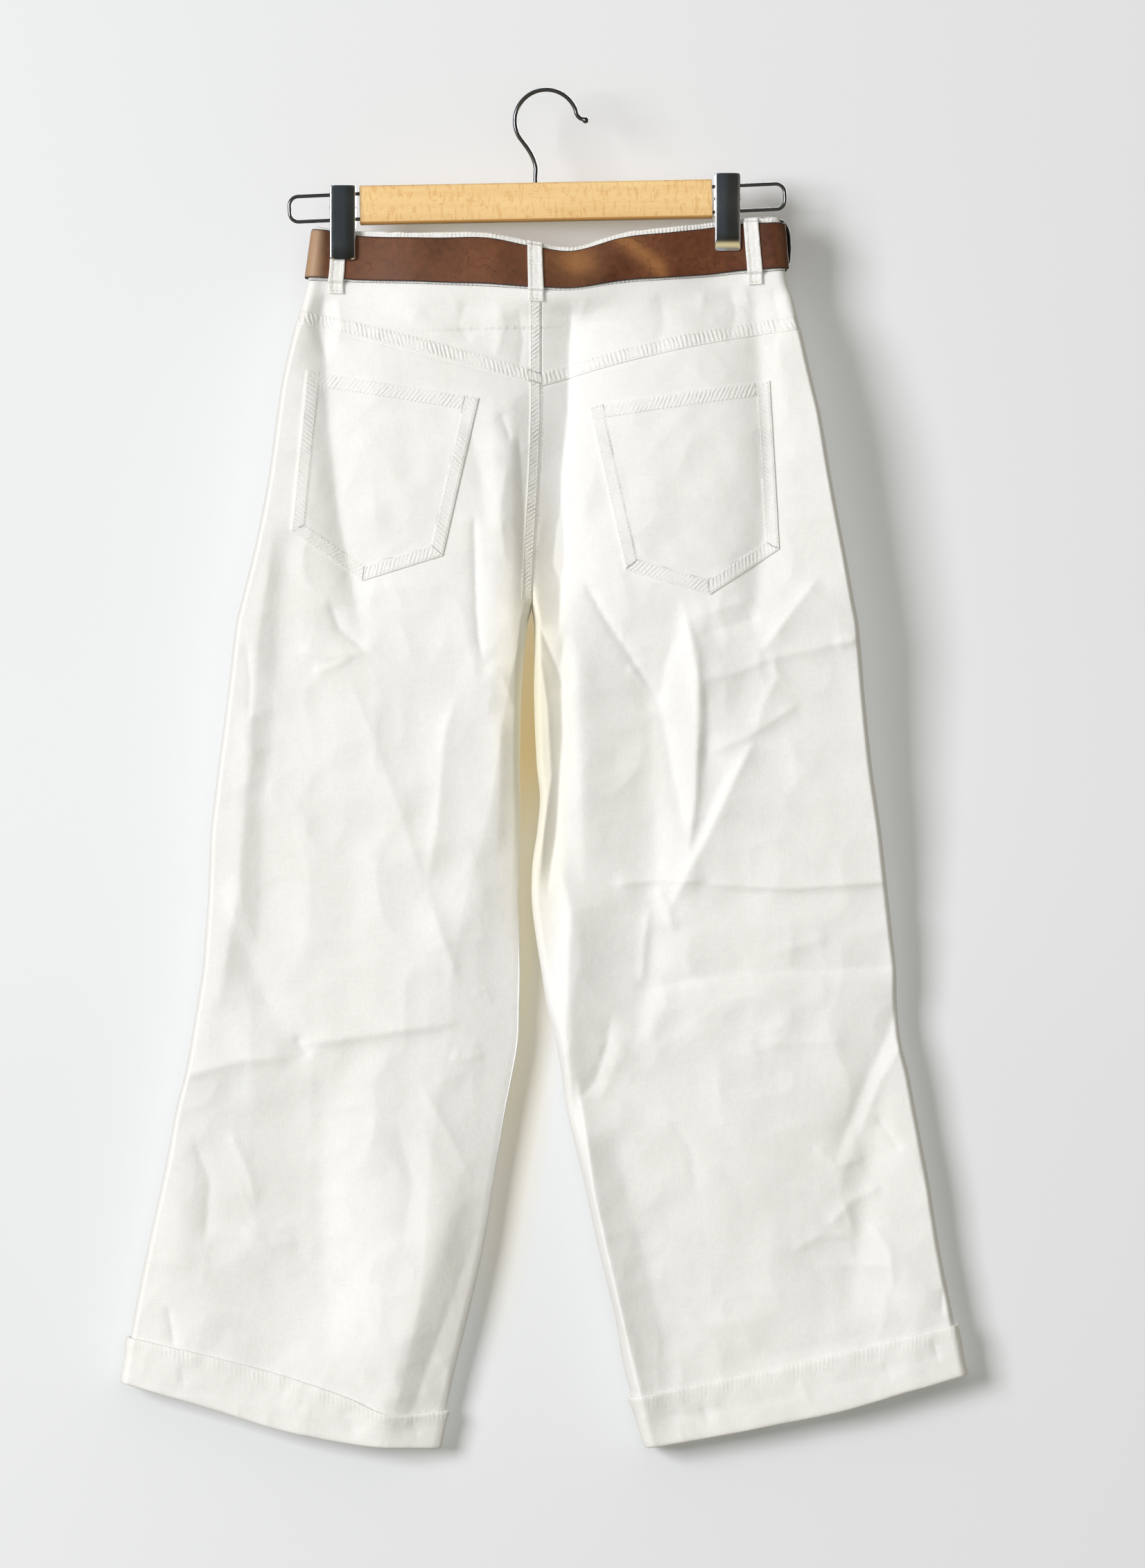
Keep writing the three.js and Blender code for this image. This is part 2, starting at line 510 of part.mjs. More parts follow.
// A leg panel's grid, from its top line to its hem line. The top line of a back panel is
// the yoke seam, and that of a front panel the waistband's lower edge. A back panel's
// columns run from the side to the inseam, and a front panel's run back to the side.
function panelGrid(leg, face, columns, rows) {
  const cut = LEGS[leg];
  const side = sideOf(leg);
  const turn = turnOf(leg);
  const back = face === 'back';
  const topOuter = back ? cut.yokeOuter : waistLow(face, turn) - 2 * GAP;
  const topInner = back ? YOKE_CENTRE : waistLow(face, CENTRE) - 2 * GAP;
  const shares = back ? across(columns) : across(columns).reverse();
  const rowPoints = ({ down, turned, outer, inner }) => shares.map((c) => {
    const apart = inner > CROTCH ? side * GAP / 2 : 0;
    const x = mix(outerEdge(leg, outer), innerEdge(leg, inner) + apart, c);
    const nominal = mix(turn, CENTRE, c);
    const line = back ? yokeSeam(cut, c) - GAP / 2 : waistLow(face, nominal) - 2 * GAP;
    const lifted = (line - mix(topOuter, topInner, c)) * (1 - smooth(down * (back ? 1 : 6)));
    const cuffSag = read(SAGS[leg], 'share', 'cuff', c) * down ** 4;
    const sag = mix(cuffSag, read(SAGS[leg], 'share', 'hem', c), turned);
    return facePoint(leg, face, x, mix(outer, inner, c) + lifted + sag);
  });
  return rowHeights(rows, topOuter, topInner, cut).map(rowPoints);
}

const panels = {};
for (const leg of ['left', 'right']) {
  for (const face of ['back', 'front']) {
    const back = face === 'back';
    const columns = back ? BACK_COLUMNS : FRONT_COLUMNS;
    const grid = panelGrid(leg, face, columns, back ? BACK_ROWS : FRONT_ROWS);
    const inseam = back ? columns : 0;
    const directions = outwards(grid, false, (i, j) => {
      if (j === columns - inseam) {
        return 'y';
      }
      if (j === inseam) {
        return grid[i][j].z > CROTCH ? 'x' : 'y';
      }
      return null;
    });
    panels[`${face}_${leg}`] = { grid, directions };
    add(`${face}_${leg}`, wall(grid, directions, -DENIM, 0), material(...DENIM_FINISH));
  }
}

// Turned-up cuffs: the last three rows of both panels, joined round the leg and moved out.
for (const leg of ['left', 'right']) {
  const ring = (back, front) => [
    ...back.slice(1, -1),
    back[back.length - 1].clone().setY(0),
    ...front.slice(1, -1),
    back[0].clone().setY(0),
  ];
  const back = panels[`back_${leg}`].grid.slice(-3);
  const front = panels[`front_${leg}`].grid.slice(-3);
  const grid = back.map((row, i) => ring(row, front[i]));
  grid[2] = grid[2].map((point) => point.clone().setZ(point.z - 1));
  const turn = BACK_COLUMNS - 1;
  const directions = outwards(grid, true, (i, j) => (
    j === turn || j === grid[0].length - 1 ? 'y' : null
  ));
  add(`cuff_${leg}`, wall(grid, directions, GAP, GAP + CUFF, true), material(...DENIM_FINISH));
}

// Patch pockets: the back panels moved out and cut to the pocket's outline.
for (const leg of ['left', 'right']) {
  const { grid, directions } = panels[`back_${leg}`];
  const cloth = solid(wall(grid, directions, GAP, GAP + PATCH));
  const pocket = cloth.intersect(prism(POCKETS[leg], 'back'));
  add(`pocket_${leg}`, surface(pocket), material(...DENIM_FINISH));
}

// Fly: the front left panel moved out and cut to a strip with a curved foot.
{
  const { grid, directions } = panels.front_left;
  const foot = FLY.top - FLY.length;
  const curve = Array.from({ length: 7 }, (_, k) => {
    const angle = (k / 6) * (Math.PI / 2);
    return [FLY.edge - FLY.width * Math.cos(angle), foot + FLY.width * (1 - Math.sin(angle))];
  });
  const outline = [[FLY.edge, FLY.top], [FLY.edge - FLY.width, FLY.top], ...curve];
  const fly = solid(wall(grid, directions, GAP, GAP + PATCH)).intersect(prism(outline, 'front'));
  add('fly', surface(fly), material(...DENIM_FINISH));
}

// ---------------------------------------------------------------- waist
// Stations round the waist: across the back from left to right, then back across the
// front. Each has its place across, and belt loops and clips fall on stations.
const backStations = [
  -186, -184.5, -181, -176, -171, -159, -148, -125, -100, -75, -48, -28, -15, -2.4,
  10, 28, 45, 60, 80, 100, 120, 132, 152.5, 168.5, 176, 181, 185.5, 187,
];
const frontStations = [
  185.5, 181, 174, 166, 158, 149, 132, 119, 109, 98, 86, 66, 40, 14, -2, -13, -24, -42,
  -62, -86, -98, -120, -147, -158, -170, -176, -181, -184.5,
];
const stations = [
  ...backStations.map((x) => ({ face: 'back', x })),
  ...frontStations.map((x) => ({ face: 'front', x })),
];

// A point of the waistband: share 0 is its top edge and share 1 its lower edge.
function waistPoint({ face, x }, share) {
  const table = waistTable(face);
  const z = mix(read(table, 'x', 'top', x), read(table, 'x', 'low', x), share);
  const part = (x - WAIST_LEFT) / (WAIST_RIGHT - WAIST_LEFT);
  const placed = mix(outerEdge('left', z), outerEdge('right', z), part);
  const depth = mix(read(table, 'x', 'topDepth', x), read(table, 'x', 'lowDepth', x), share);
  const fromEnd = Math.min(x - WAIST_LEFT, WAIST_RIGHT - x);
  const out = depth * roundness(fromEnd, WAIST_ROUND);
  return new THREE.Vector3(placed, face === 'back' ? -out : out, z);
}

const ringOf = (share) => stations.map((station) => waistPoint(station, share));
const directionsRound = outwards([ringOf(0), ringOf(0.5), ringOf(1)], true);

// The direction out of the waist at a station, at its middle height.
const stationIndex = (face, x) => stations.findIndex((s) => s.face === face && s.x === x);
const outAt = (index) => directionsRound[1][index];

// A strip along stations: each step names a station and how far out the strip lies there.
function strip(steps, shares, thickness) {
  const grid = shares.map((share) => steps.map(({ index }) => waistPoint(stations[index], share)));
  const directions = shares.map(() => steps.map(({ index }) => outAt(index)));
  const from = (i, j) => steps[j].out;
  const to = (i, j) => steps[j].out + thickness;
  return wall(grid, directions, from, to);
}

// Waistband: one strip that starts under its own other end at the centre front.
{
  const centre = stationIndex('front', -2);
  const underEnd = stationIndex('front', -42);
  const count = stations.length;
  const steps = [];
  for (let index = centre; index < count; index += 1) {
    steps.push({ index, out: -BAND });
  }
  for (let index = 0; index <= underEnd; index += 1) {
    const under = index >= centre - 1 ? smooth((index - centre + 2) / 2) : 0;
    steps.push({ index, out: -BAND - under * (BAND + GAP) });
  }
  add('waistband', strip(steps, [0, 0.5, 1], BAND), material(...DENIM_FINISH));
}

// Yokes: from the waistband down to the seam across the seat, on the same stations.
for (const leg of ['left', 'right']) {
  const side = sideOf(leg);
  const turn = turnOf(leg);
  const cut = LEGS[leg];
  const mine = backStations.filter((x) => side * (x - CENTRE) > 0 && Math.abs(x - CENTRE) > 2);
  const shares = mine.map((x) => (x - turn) / (CENTRE - turn));
  shares.push(1);
  shares.sort((a, b) => a - b);
  const grid = [0, 0.34, 0.67, 1].map((s) => shares.map((c) => {
    const top = waistLow('back', mix(turn, CENTRE, c)) - GAP;
    const edge = mix(waistLow('back', turn), cut.yokeOuter, s);
    const centre = innerEdge(leg, edge) + side * GAP / 2;
    const x = mix(outerEdge(leg, edge), centre, c);
    return facePoint(leg, 'back', x, mix(top, yokeSeam(cut, c) + GAP / 2, s));
  }));
  const edgePlane = (i, j) => {
    if (j === 0) {
      return 'y';
    }
    return j === shares.length - 1 ? 'x' : null;
  };
  const directions = outwards(grid, false, edgePlane);
  add(`yoke_${leg}`, wall(grid, directions, -DENIM, 0), material(...DENIM_FINISH));
}

// Belt strap: from the buckle's heel across the front to the left, round the back, and
// across the front again over its first end, past the buckle, to the tip.
const secondPly = FIRST_PLY + LEATHER + GAP;
const near = ({ x, clear, ease }, at) => 1 - smooth((Math.abs(at - x) - clear) / ease);
const keeperRelief = (x) => (KEEPER.wall + GAP) * near(KEEPER, x);
const buttonRelief = (x) => BUTTON_RELIEF * near(BUTTON, x);
const relief = ({ face, x }) => (face === 'front' ? keeperRelief(x) + buttonRelief(x) : 0);
const beltShares = [BELT_TOP, (BELT_TOP + BELT_LOW) / 2, BELT_LOW];
{
  const count = stations.length;
  const heel = stationIndex('front', 149);
  const tip = stationIndex('front', 66);
  const steps = [];
  for (let index = heel; index < count; index += 1) {
    steps.push({ index, out: FIRST_PLY + relief(stations[index]) });
  }
  for (let index = 0; index <= tip; index += 1) {
    const { face, x } = stations[index];
    const over = face === 'front' ? smooth((182 - x) / 20) : 0;
    steps.push({ index, out: mix(FIRST_PLY, secondPly, over) + relief(stations[index]) });
  }
  add('belt_strap', strip(steps, beltShares, LEATHER), material(...LEATHER_FINISH));
}

// Belt keeper: a leather ring round both plies.
{
  const steps = (places, out) => places.map((x) => ({ index: stationIndex('front', x), out }));
  const inside = FIRST_PLY + 2 * LEATHER + 2 * GAP;
  const outer = [BELT_TOP - 2 * KEEPER.margin, BELT_LOW + 2 * KEEPER.margin];
  const inner = [BELT_TOP - KEEPER.margin, BELT_LOW + KEEPER.margin];
  const block = solid(strip(steps([119, 109], GAP), outer, inside + 2 * KEEPER.wall));
  const hollow = solid(strip(steps([132, 119, 109, 98], GAP + KEEPER.wall), inner, inside));
  add('belt_keeper', surface(block.subtract(hollow)), material(...LEATHER_FINISH));
}

// Buckle: an oval frame, its heel under the strap and its far end over it.
{
  const reach = (BUCKLE.farX - BUCKLE.heelX) / 2;
  const tall = (BUCKLE.height - BUCKLE.bar) / 2;
  const power = (value) => Math.sign(value) * Math.abs(value) ** (2 / BUCKLE.square);
  const centreline = Array.from({ length: 40 }, (_, k) => {
    const angle = (k / 40) * 2 * Math.PI;
    return new THREE.Vector3(reach * power(Math.cos(angle)), 0, tall * power(Math.sin(angle)));
  });
  const ring = ringTube(centreline, BUCKLE.bar / 2, 10);
  const bar = new THREE.CylinderGeometry(BUCKLE.heelBar / 2, BUCKLE.heelBar / 2, 2 * tall - 1, 10);
  bar.rotateX(Math.PI / 2);
  bar.translate(-reach * 0.7, 0, 0);
  const frame = new THREE.Mesh(surface(solid(ring).add(solid(bar))), material('#1c1d20', 0.25, 1));
  frame.name = 'buckle_frame';
  frame.rotation.z = Math.atan2(BUCKLE.farY - BUCKLE.heelY, BUCKLE.farX - BUCKLE.heelX);
  frame.position.set((BUCKLE.heelX + BUCKLE.farX) / 2, (BUCKLE.heelY + BUCKLE.farY) / 2, BUCKLE.z);
  jeans.add(frame);
}

// Buckle prong: from its hole in the strap to the frame's far end.
{
  const [x0, y0] = PRONG.from;
  const [x1, y1] = PRONG.to;
  const length = Math.hypot(x1 - x0, y1 - y0);
  const prong = new THREE.CylinderGeometry(PRONG.radius * 0.8, PRONG.radius, length, 10);
  const mesh = add('buckle_prong', prong, material('#1c1d20', 0.25, 1));
  mesh.rotation.z = Math.atan2(y1 - y0, x1 - x0) - Math.PI / 2;
  mesh.position.set((x0 + x1) / 2, (y0 + y1) / 2, BUCKLE.z);
}

// Waist button: a domed cap on the waistband's upper end, behind the belt.
{
  const { radius, height } = BUTTON;
  const profile = [
    [0, 0],
    [radius * 0.5, 0],
    [radius * 0.95, height * 0.3],
    [radius, height * 0.53],
    [radius * 0.8, height * 0.9],
    [0, height],
  ];
  const cap = new THREE.LatheGeometry(profile.map(([r, y]) => new THREE.Vector2(r, y)), 20);
  const mesh = add('waist_button', cap, material('#b9bbbd', 0.3, 1));
  const seat = waistPoint({ face: 'front', x: BUTTON.x }, 0.5);
  mesh.rotation.x = -THREE.MathUtils.degToRad(BUTTON.lean);
  mesh.position.set(seat.x, seat.y + 2 * GAP, seat.z);
}

// Belt loops: a strip sewn to the waistband's top edge, over the belt, and down to a foot
// sewn just under the waistband.
for (const loop of BELT_LOOPS) {
  const rise = GAP + loop.plies * (LEATHER + GAP);
  const course = [
    { share: -0.005, out: GAP },
    { share: 0.03, out: GAP },
    { share: BELT_TOP - 0.012, out: rise },
    { share: 0.4, out: rise },
    { share: 0.7, out: rise },
    { share: BELT_LOW + 0.012, out: rise },
    { share: 1.06, out: LOOP_LIFT[loop.face] },
    { share: 1 + LOOP_FOOT / BAND_HEIGHT, out: LOOP_LIFT[loop.face] },
  ];
  const grid = course.map(({ share, out }) => {
    const middle = mix(loop.top, loop.foot, clamp(share, 0, 1));
    return [-0.5, 0, 0.5].map((k) => {
      const x = middle + k * LOOP_WIDTH;
      const inside = waistPoint({ face: loop.face, x }, Math.min(share, 1));
      if (share > 1) {
        const low = read(waistTable(loop.face), 'x', 'low', x);
        inside.z = low - (share - 1) * BAND_HEIGHT;
        const leg = x < CENTRE ? 'left' : 'right';
        const depth = depthAt(leg, loop.face, inside.x, inside.z);
        inside.y = loop.face === 'back' ? -depth : depth;
      }
      inside.y += loop.face === 'back' ? -out : out;
      return inside;
    });
  });
  const straight = new THREE.Vector3(0, loop.face === 'back' ? -1 : 1, 0);
  const directions = grid.map((row) => row.map(() => straight));
  add(loop.name, wall(grid, directions, 0, LOOP), material(...DENIM_FINISH));
}

// ---------------------------------------------------------------- hanger
// A wire along a curve.
function wireAlong(points, diameter, steps, sides) {
  const shape = new THREE.Shape().absarc(0, 0, diameter / 2, 0, 2 * Math.PI);
  const path = new THREE.CatmullRomCurve3(points, false, 'centripetal');
  return new THREE.ExtrudeGeometry(shape, { steps, extrudePath: path, curveSegments: sides / 2 });
}

// Points along an arc in the hanger's plane, between two angles in degrees.
const arc = (x, z, radius, from, to, count) => Array.from({ length: count + 1 }, (_, k) => {
  const angle = THREE.MathUtils.degToRad(mix(from, to, k / count));
  return new THREE.Vector3(x + radius * Math.cos(angle), 0, z + radius * Math.sin(angle));
});

// Beech bar, its edges chamfered, drilled for the hook and the four wire ends.
{
  const h = BAR.height / 2;
  const t = BAR.thickness / 2;
  const k = BAR.chamfer;
  const section = [
    [t, k - h], [t, h - k], [t - k, h], [k - t, h],
    [-t, h - k], [-t, k - h], [k - t, -h], [t - k, -h],
  ];
  const shape = new THREE.Shape(section.map(([y, z]) => new THREE.Vector2(y, z)));
  const blank = new THREE.ExtrudeGeometry(shape, { depth: BAR.length, bevelEnabled: false });
  blank.rotateX(Math.PI / 2).rotateZ(Math.PI / 2).translate(-BAR.length / 2, 0, 0);
  const stemHole = new THREE.CylinderGeometry(HOOK.hole, HOOK.hole, 2 * HOOK.sunk + 2, 12);
  stemHole.rotateX(Math.PI / 2).translate(HOOK.stemX - BAR.x, 0, h);
  let bar = solid(blank).subtract(solid(stemHole));
  const end = BAR.length / 2;
  for (const z of [-WIRE.spacing / 2, WIRE.spacing / 2]) {
    bar = bar.subtract(rodX(-end - 1, 1 + WIRE.sunk - end, z, WIRE.hole));
    bar = bar.subtract(rodX(end - WIRE.sunk - 1, end + 1, z, WIRE.hole));
  }
  const mesh = add('hanger_bar', surface(bar), material('#e2b67c', 0.45, 0));
  mesh.rotation.y = -THREE.MathUtils.degToRad(BAR.tilt);
  mesh.position.set(BAR.x, 0, BAR.z);
}

// Hook: one bent wire with a ball at its tip, sunk in the bar.
{
  const centreZ = -(HOOK.radius - HOOK.wire / 2);
  const bend = arc(HOOK.centreX, centreZ, HOOK.radius, HOOK.start, HOOK.end, 18);
  const tip = bend[0];
  const neck = bend[bend.length - 1];
  const ball = new THREE.Vector3(tip.x + 6.6, 0, tip.z - 4.4);
  const top = BAR.z + BAR.height / 2;
  const points = [
    ball,
    new THREE.Vector3(tip.x + 2.2, 0, tip.z - 2.6),
    ...bend,
    new THREE.Vector3(mix(neck.x, HOOK.stemX, 0.62), 0, neck.z - 9),
    new THREE.Vector3(HOOK.stemX, 0, neck.z - 19),
    new THREE.Vector3(HOOK.stemX, 0, top + 4),
    new THREE.Vector3(HOOK.stemX, 0, top + GAP - HOOK.sunk),
  ];
  const sphere = new THREE.SphereGeometry(HOOK.ball, 12, 8).translate(ball.x, 0, ball.z);
  const hook = solid(wireAlong(points, HOOK.wire, 60, 8)).add(solid(sphere));
  add('hook', surface(hook), material(...CHROME_FINISH));
}

// Wire loops: each a wire bent round into two level runs, its ends sunk in the bar.
for (const loop of WIRE_LOOPS) {
  const half = WIRE.spacing / 2;
  const r = WIRE.corner;
  const turn = loop.reach - r;
  const start = GAP - WIRE.sunk;
  const side = (points) => points.map((p) => p.setX(p.x * loop.side));
  const points = side([
    new THREE.Vector3(start, 0, half),
    new THREE.Vector3(turn / 2, 0, half),
    ...arc(turn, half - r, r, 90, 0, 4),
    ...arc(turn, r - half, r, 0, -90, 4),
    new THREE.Vector3(turn / 2, 0, -half),
    new THREE.Vector3(start, 0, -half),
  ]);
  const mesh = add(loop.name, wireAlong(points, WIRE.diameter, 28, 8), material(...CHROME_FINISH));
  mesh.rotation.y = -THREE.MathUtils.degToRad(WIRE.tilt);
  mesh.position.set(loop.root, 0, loop.z);
}

// Clips: two sheet jaws with flanges that slide on the wires, a pin and a coil spring.
const ordered = (a, b) => (a < b ? [a, b] : [b, a]);
for (const clip of CLIPS) {
  const half = CLIP.width / 2;
  const sheet = CLIP.sheet;
  const flangeLow = clip.top - CLIP.flange;
  const slot = WIRE.diameter / 2 + CLIP.slack;
  const holes = [
    rodX(-half - 1, half + 1, clip.wires, CLIP.pin / 2 + GAP),
    rodX(-half - 1, half + 1, clip.wires + WIRE.spacing / 2, slot),
    rodX(-half - 1, half + 1, clip.wires - WIRE.spacing / 2, slot),
  ];
  const jaws = [
    { name: 'jaw_back', face: clip.back, inset: 0 },
    { name: 'jaw_front', face: clip.front, inset: sheet + GAP },
  ];
  for (const { name, face, inset } of jaws) {
    const away = Math.sign(face);
    const plateY = ordered(face, face + away * sheet);
    const flangeY = ordered(face + away * sheet / 2, -away * CLIP.lap);
    let jaw = box(-half, plateY[0], clip.foot, half, plateY[1], clip.top);
    for (const side of [-1, 1]) {
      const flangeX = ordered(side * (half - inset), side * (half - inset - sheet));
      jaw = jaw.add(box(flangeX[0], flangeY[0], flangeLow, flangeX[1], flangeY[1], clip.top - 1));
    }
    for (const hole of holes) {
      jaw = jaw.subtract(hole);
    }
    const mesh = add(`${clip.name}_${name}`, surface(jaw), material(...CHROME_FINISH));
    mesh.position.x = clip.x;
  }
  const rod = surface(rodX(-half - CLIP.head, half + CLIP.head, 0, CLIP.pin / 2));
  const pin = add(`${clip.name}_pin`, rod, material(...CHROME_FINISH));
  pin.position.set(clip.x, 0, clip.wires);
  const count = CLIP.turns * 10;
  const coil = Array.from({ length: count + 1 }, (_, k) => {
    const angle = (k / 10) * 2 * Math.PI;
    const x = (k / count - 0.5) * CLIP.coilLength;
    return new THREE.Vector3(x, CLIP.coil * Math.cos(angle), CLIP.coil * Math.sin(angle));
  });
  const wire = wireAlong(coil, CLIP.spring, 12 * CLIP.turns, 6);
  const spring = add(`${clip.name}_spring`, wire, material(...CHROME_FINISH));
  spring.position.set(clip.x, 0, clip.wires);
}

export default jeans;
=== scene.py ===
"""Wide leg jeans with a leather belt, hung by the waist from a clip hanger.

Sizes are in millimetres and the meshes in metres. X is the wearer's right, -Y the wearer's back and Z up.
The origin is the inside top of the hook.
"""
import math

import bpy
import numpy as np
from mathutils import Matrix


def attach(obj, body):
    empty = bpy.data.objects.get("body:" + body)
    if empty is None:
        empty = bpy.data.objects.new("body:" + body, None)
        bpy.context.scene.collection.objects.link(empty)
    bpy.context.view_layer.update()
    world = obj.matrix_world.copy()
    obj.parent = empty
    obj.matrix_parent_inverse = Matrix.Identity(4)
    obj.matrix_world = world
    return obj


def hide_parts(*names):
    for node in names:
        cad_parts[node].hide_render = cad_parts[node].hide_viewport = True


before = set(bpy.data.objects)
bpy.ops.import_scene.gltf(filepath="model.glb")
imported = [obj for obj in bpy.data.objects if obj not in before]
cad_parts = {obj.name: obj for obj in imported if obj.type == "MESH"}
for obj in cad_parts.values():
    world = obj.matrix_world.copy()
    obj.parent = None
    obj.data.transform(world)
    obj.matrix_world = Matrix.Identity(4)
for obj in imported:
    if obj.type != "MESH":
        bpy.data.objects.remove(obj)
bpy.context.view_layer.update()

# ------------------------------------------------------------------ the wall, the light and the camera
# The jeans hang in front of a pale paper wall, close to it at the hem and further off at the hanger, that
# sweeps forward into a floor. A large soft light stands on the left in front of them, a weak one straight
# in front, another lights the wearer's front, and the room fills the rest with a slightly warm light.
MM = 0.001
WALL_Y = 17.2
WALL_LEAN = 0.012
LEAN_ENDS = -300
WALL_BEND = 26
BEND_Z = (-760, -400)
HEM_Z = -1057
WALL_TOP = 1500
WALL_FOOT = -1300
WALL_HALF = 3200
FLOOR_Z = -1750
FLOOR_FRONT = -4200
SWEEP = 420
WALL_TONES = (0.3, (0.765, 0.785, 0.825, 1)), (0.7, (0.78, 0.80, 0.84, 1))
# A painted warm glow on the wall between the legs, standing in for light that the cloth on both sides
# bounces and lets through onto it: the middle and reach of each glow in metres, how near its middle it is
# at its full strength, and its colour.
PAINTED_WARM_GLOWS = [
    ((-0.018, 0, -0.62), (0.042, 10, 0.38), 0.75, (1.0, 0.90, 0.66, 1)),
    ((-0.016, 0, -0.47), (0.034, 10, 0.12), 0.6, (1.0, 0.84, 0.57, 1)),
]


def skin(name, grid, ring=False, loop=False, capped=False, facing=None):
    """A mesh of four-sided faces over a grid of points: face (i, j) joins points (i, j), (i + 1, j),
    (i + 1, j + 1) and (i, j + 1). ring joins the last column to the first, loop the last row to the
    first, and capped closes both end rings. Faces look along facing, or else outwards."""
    rows, columns = grid.shape[:2]
    index = np.arange(rows * columns).reshape(rows, columns)
    wide = np.hstack([index, index[:, :1]]) if ring else index
    tall = np.vstack([wide, wide[:1]]) if loop else wide
    quads = np.stack([tall[:-1, :-1], tall[1:, :-1], tall[1:, 1:], tall[:-1, 1:]], -1).reshape(-1, 4)
    points = grid.reshape(-1, 3) * MM
    a, b, c, d = (points[quads[:, k]] for k in range(4))
    area = np.cross(c - a, d - b)
    outward = (a + b + c + d) / 4 - points.mean(0) if facing is None else np.array(facing, float)
    turned = (area * outward).sum() < 0
    faces = (quads[:, ::-1] if turned else quads).tolist()
    if capped:
        ends = [index[0], index[-1][::-1]]
        faces += [(end[::-1] if turned else end).tolist() for end in ends]
    return made_of(name, points, faces)


def made_of(name, points, faces):
    """A smooth piece in the scene, of points in metres and faces that name them."""
    mesh = bpy.data.meshes.new(name)
    mesh.from_pydata(points.tolist(), [], faces)
    mesh.shade_smooth()
    piece = bpy.data.objects.new(name, mesh)
    bpy.context.scene.collection.objects.link(piece)
    return piece


def new_finish(name, **sockets):
    """A material's tree and shader, with the shader's named sockets set (Base_Color is Base Color)."""
    finish = bpy.data.materials.new(name)
    finish.use_nodes = True
    shader = finish.node_tree.nodes["Principled BSDF"]
    for socket, value in sockets.items():
        shader.inputs[socket.replace("_", " ")].default_value = value
    return finish, finish.node_tree, shader


def node(tree, kind, settings=None, **inputs):
    """A node of a tree, its settings given by name and its inputs by name: a value, or a socket to join."""
    made = tree.nodes.new("ShaderNode" + kind)
    for setting, value in (settings or {}).items():
        setattr(made, setting, value)
    for key, value in inputs.items():
        socket = made.inputs[int(key[1:]) if key[0] == "_" else key.replace("_", " ")]
        if isinstance(value, bpy.types.NodeSocket):
            tree.links.new(value, socket)
        else:
            socket.default_value = value
    return made


def noise(tree, place, scale=1.0, detail=2.0, **more):
    """Soft noise at a place, about 0.5, with a grain of one in so many parts of a metre."""
    return node(tree, "TexNoise", Vector=place, Scale=scale, Detail=detail, **more).outputs["Fac"]


def nearness(tree, place, middle, reach, turn=0.0):
    """One at a middle and less further off, to nothing at an ellipsoid of that reach, turned about Y."""
    local = node(tree, "Mapping", {"vector_type": "TEXTURE"}, Vector=place, Location=middle,
                 Rotation=(0, turn, 0), Scale=reach)
    return node(tree, "TexGradient", {"gradient_type": "SPHERICAL"}, Vector=local.outputs[0]).outputs["Fac"]


def spread(tree, value, low, high, foot=0.0, top=1.0):
    """A value's share of the way from low to high, no less than 0 or more than 1, as foot to top."""
    return node(tree, "MapRange", Value=value, From_Min=low, From_Max=high, To_Min=foot,
                To_Max=top).outputs["Result"]


def maths(tree, way, a, b, c=0.5):
    """A sum, product or other figure of two values, or of three where the way takes three."""
    return node(tree, "Math", {"operation": way}, _0=a, _1=b, _2=c).outputs[0]


def mixed(tree, share, under, over, way="MIX"):
    """A colour that share of the way from one to another, or to their product or their sum."""
    return node(tree, "Mix", {"data_type": "RGBA", "blend_type": way}, _0=share, _6=under,
                _7=over).outputs[2]


def graded(tree, share, *stops):
    """The colour at a share along a row of stops, each a place from 0 to 1 and its colour."""
    ramp = node(tree, "ValToRGB", Fac=share)
    elements = ramp.color_ramp.elements
    for k, (at, colour) in enumerate(stops):
        stop = elements[k] if k < 2 else elements.new(at)
        stop.position = at
        stop.color = colour
    return ramp.outputs["Color"]


def sweep_of_wall():
    """Points of the backdrop: the floor runs back, turns up through a quarter circle and goes on up,
    leaning back a little and stepping back softly above the knees."""
    turn = np.linspace(0, math.pi / 2, 24)
    up = np.linspace(WALL_FOOT, WALL_TOP, 141)
    share = np.clip((up - BEND_Z[0]) / (BEND_Z[1] - BEND_Z[0]), 0, 1)
    y = np.concatenate([[FLOOR_FRONT], WALL_Y - SWEEP + SWEEP * np.sin(turn),
                        WALL_Y + WALL_BEND * share ** 2 * (3 - 2 * share)])
    z = np.concatenate([[FLOOR_Z], FLOOR_Z + SWEEP - SWEEP * np.cos(turn), up])
    y = y + WALL_LEAN * np.maximum(z - HEM_Z, LEAN_ENDS)
    x = np.array([-WALL_HALF, WALL_HALF], float)
    return np.stack([np.tile(x, (len(y), 1)), np.tile(y, (2, 1)).T, np.tile(z, (2, 1)).T], -1)


wall = skin("wall_and_floor", sweep_of_wall(), facing=(0, -1, 1))
paint, tree, shader = new_finish("wall_paint", Roughness=0.95, Specular_IOR_Level=0.1)
place = node(tree, "TexCoord").outputs["Object"]
glow = graded(tree, noise(tree, place, 1.1, 1.0), *WALL_TONES)
# Painted warm glows: each multiplies a warm colour into the wall's tone between the legs.
for middle, reach, full, tint in PAINTED_WARM_GLOWS:
    share = spread(tree, nearness(tree, place, middle, reach, 0.07), 0, full)
    glow = mixed(tree, share, glow, tint, "MULTIPLY")
tree.links.new(glow, shader.inputs["Base Color"])
behind = node(tree, "NewGeometry").outputs["Backfacing"]
clear = node(tree, "BsdfTransparent").outputs["BSDF"]
either = node(tree, "MixShader", _0=behind, _1=shader.outputs["BSDF"], _2=clear)
tree.links.new(either.outputs["Shader"], tree.nodes["Material Output"].inputs["Surface"])
wall.data.materials.append(paint)
wall.visible_diffuse = False
wall.visible_glossy = False
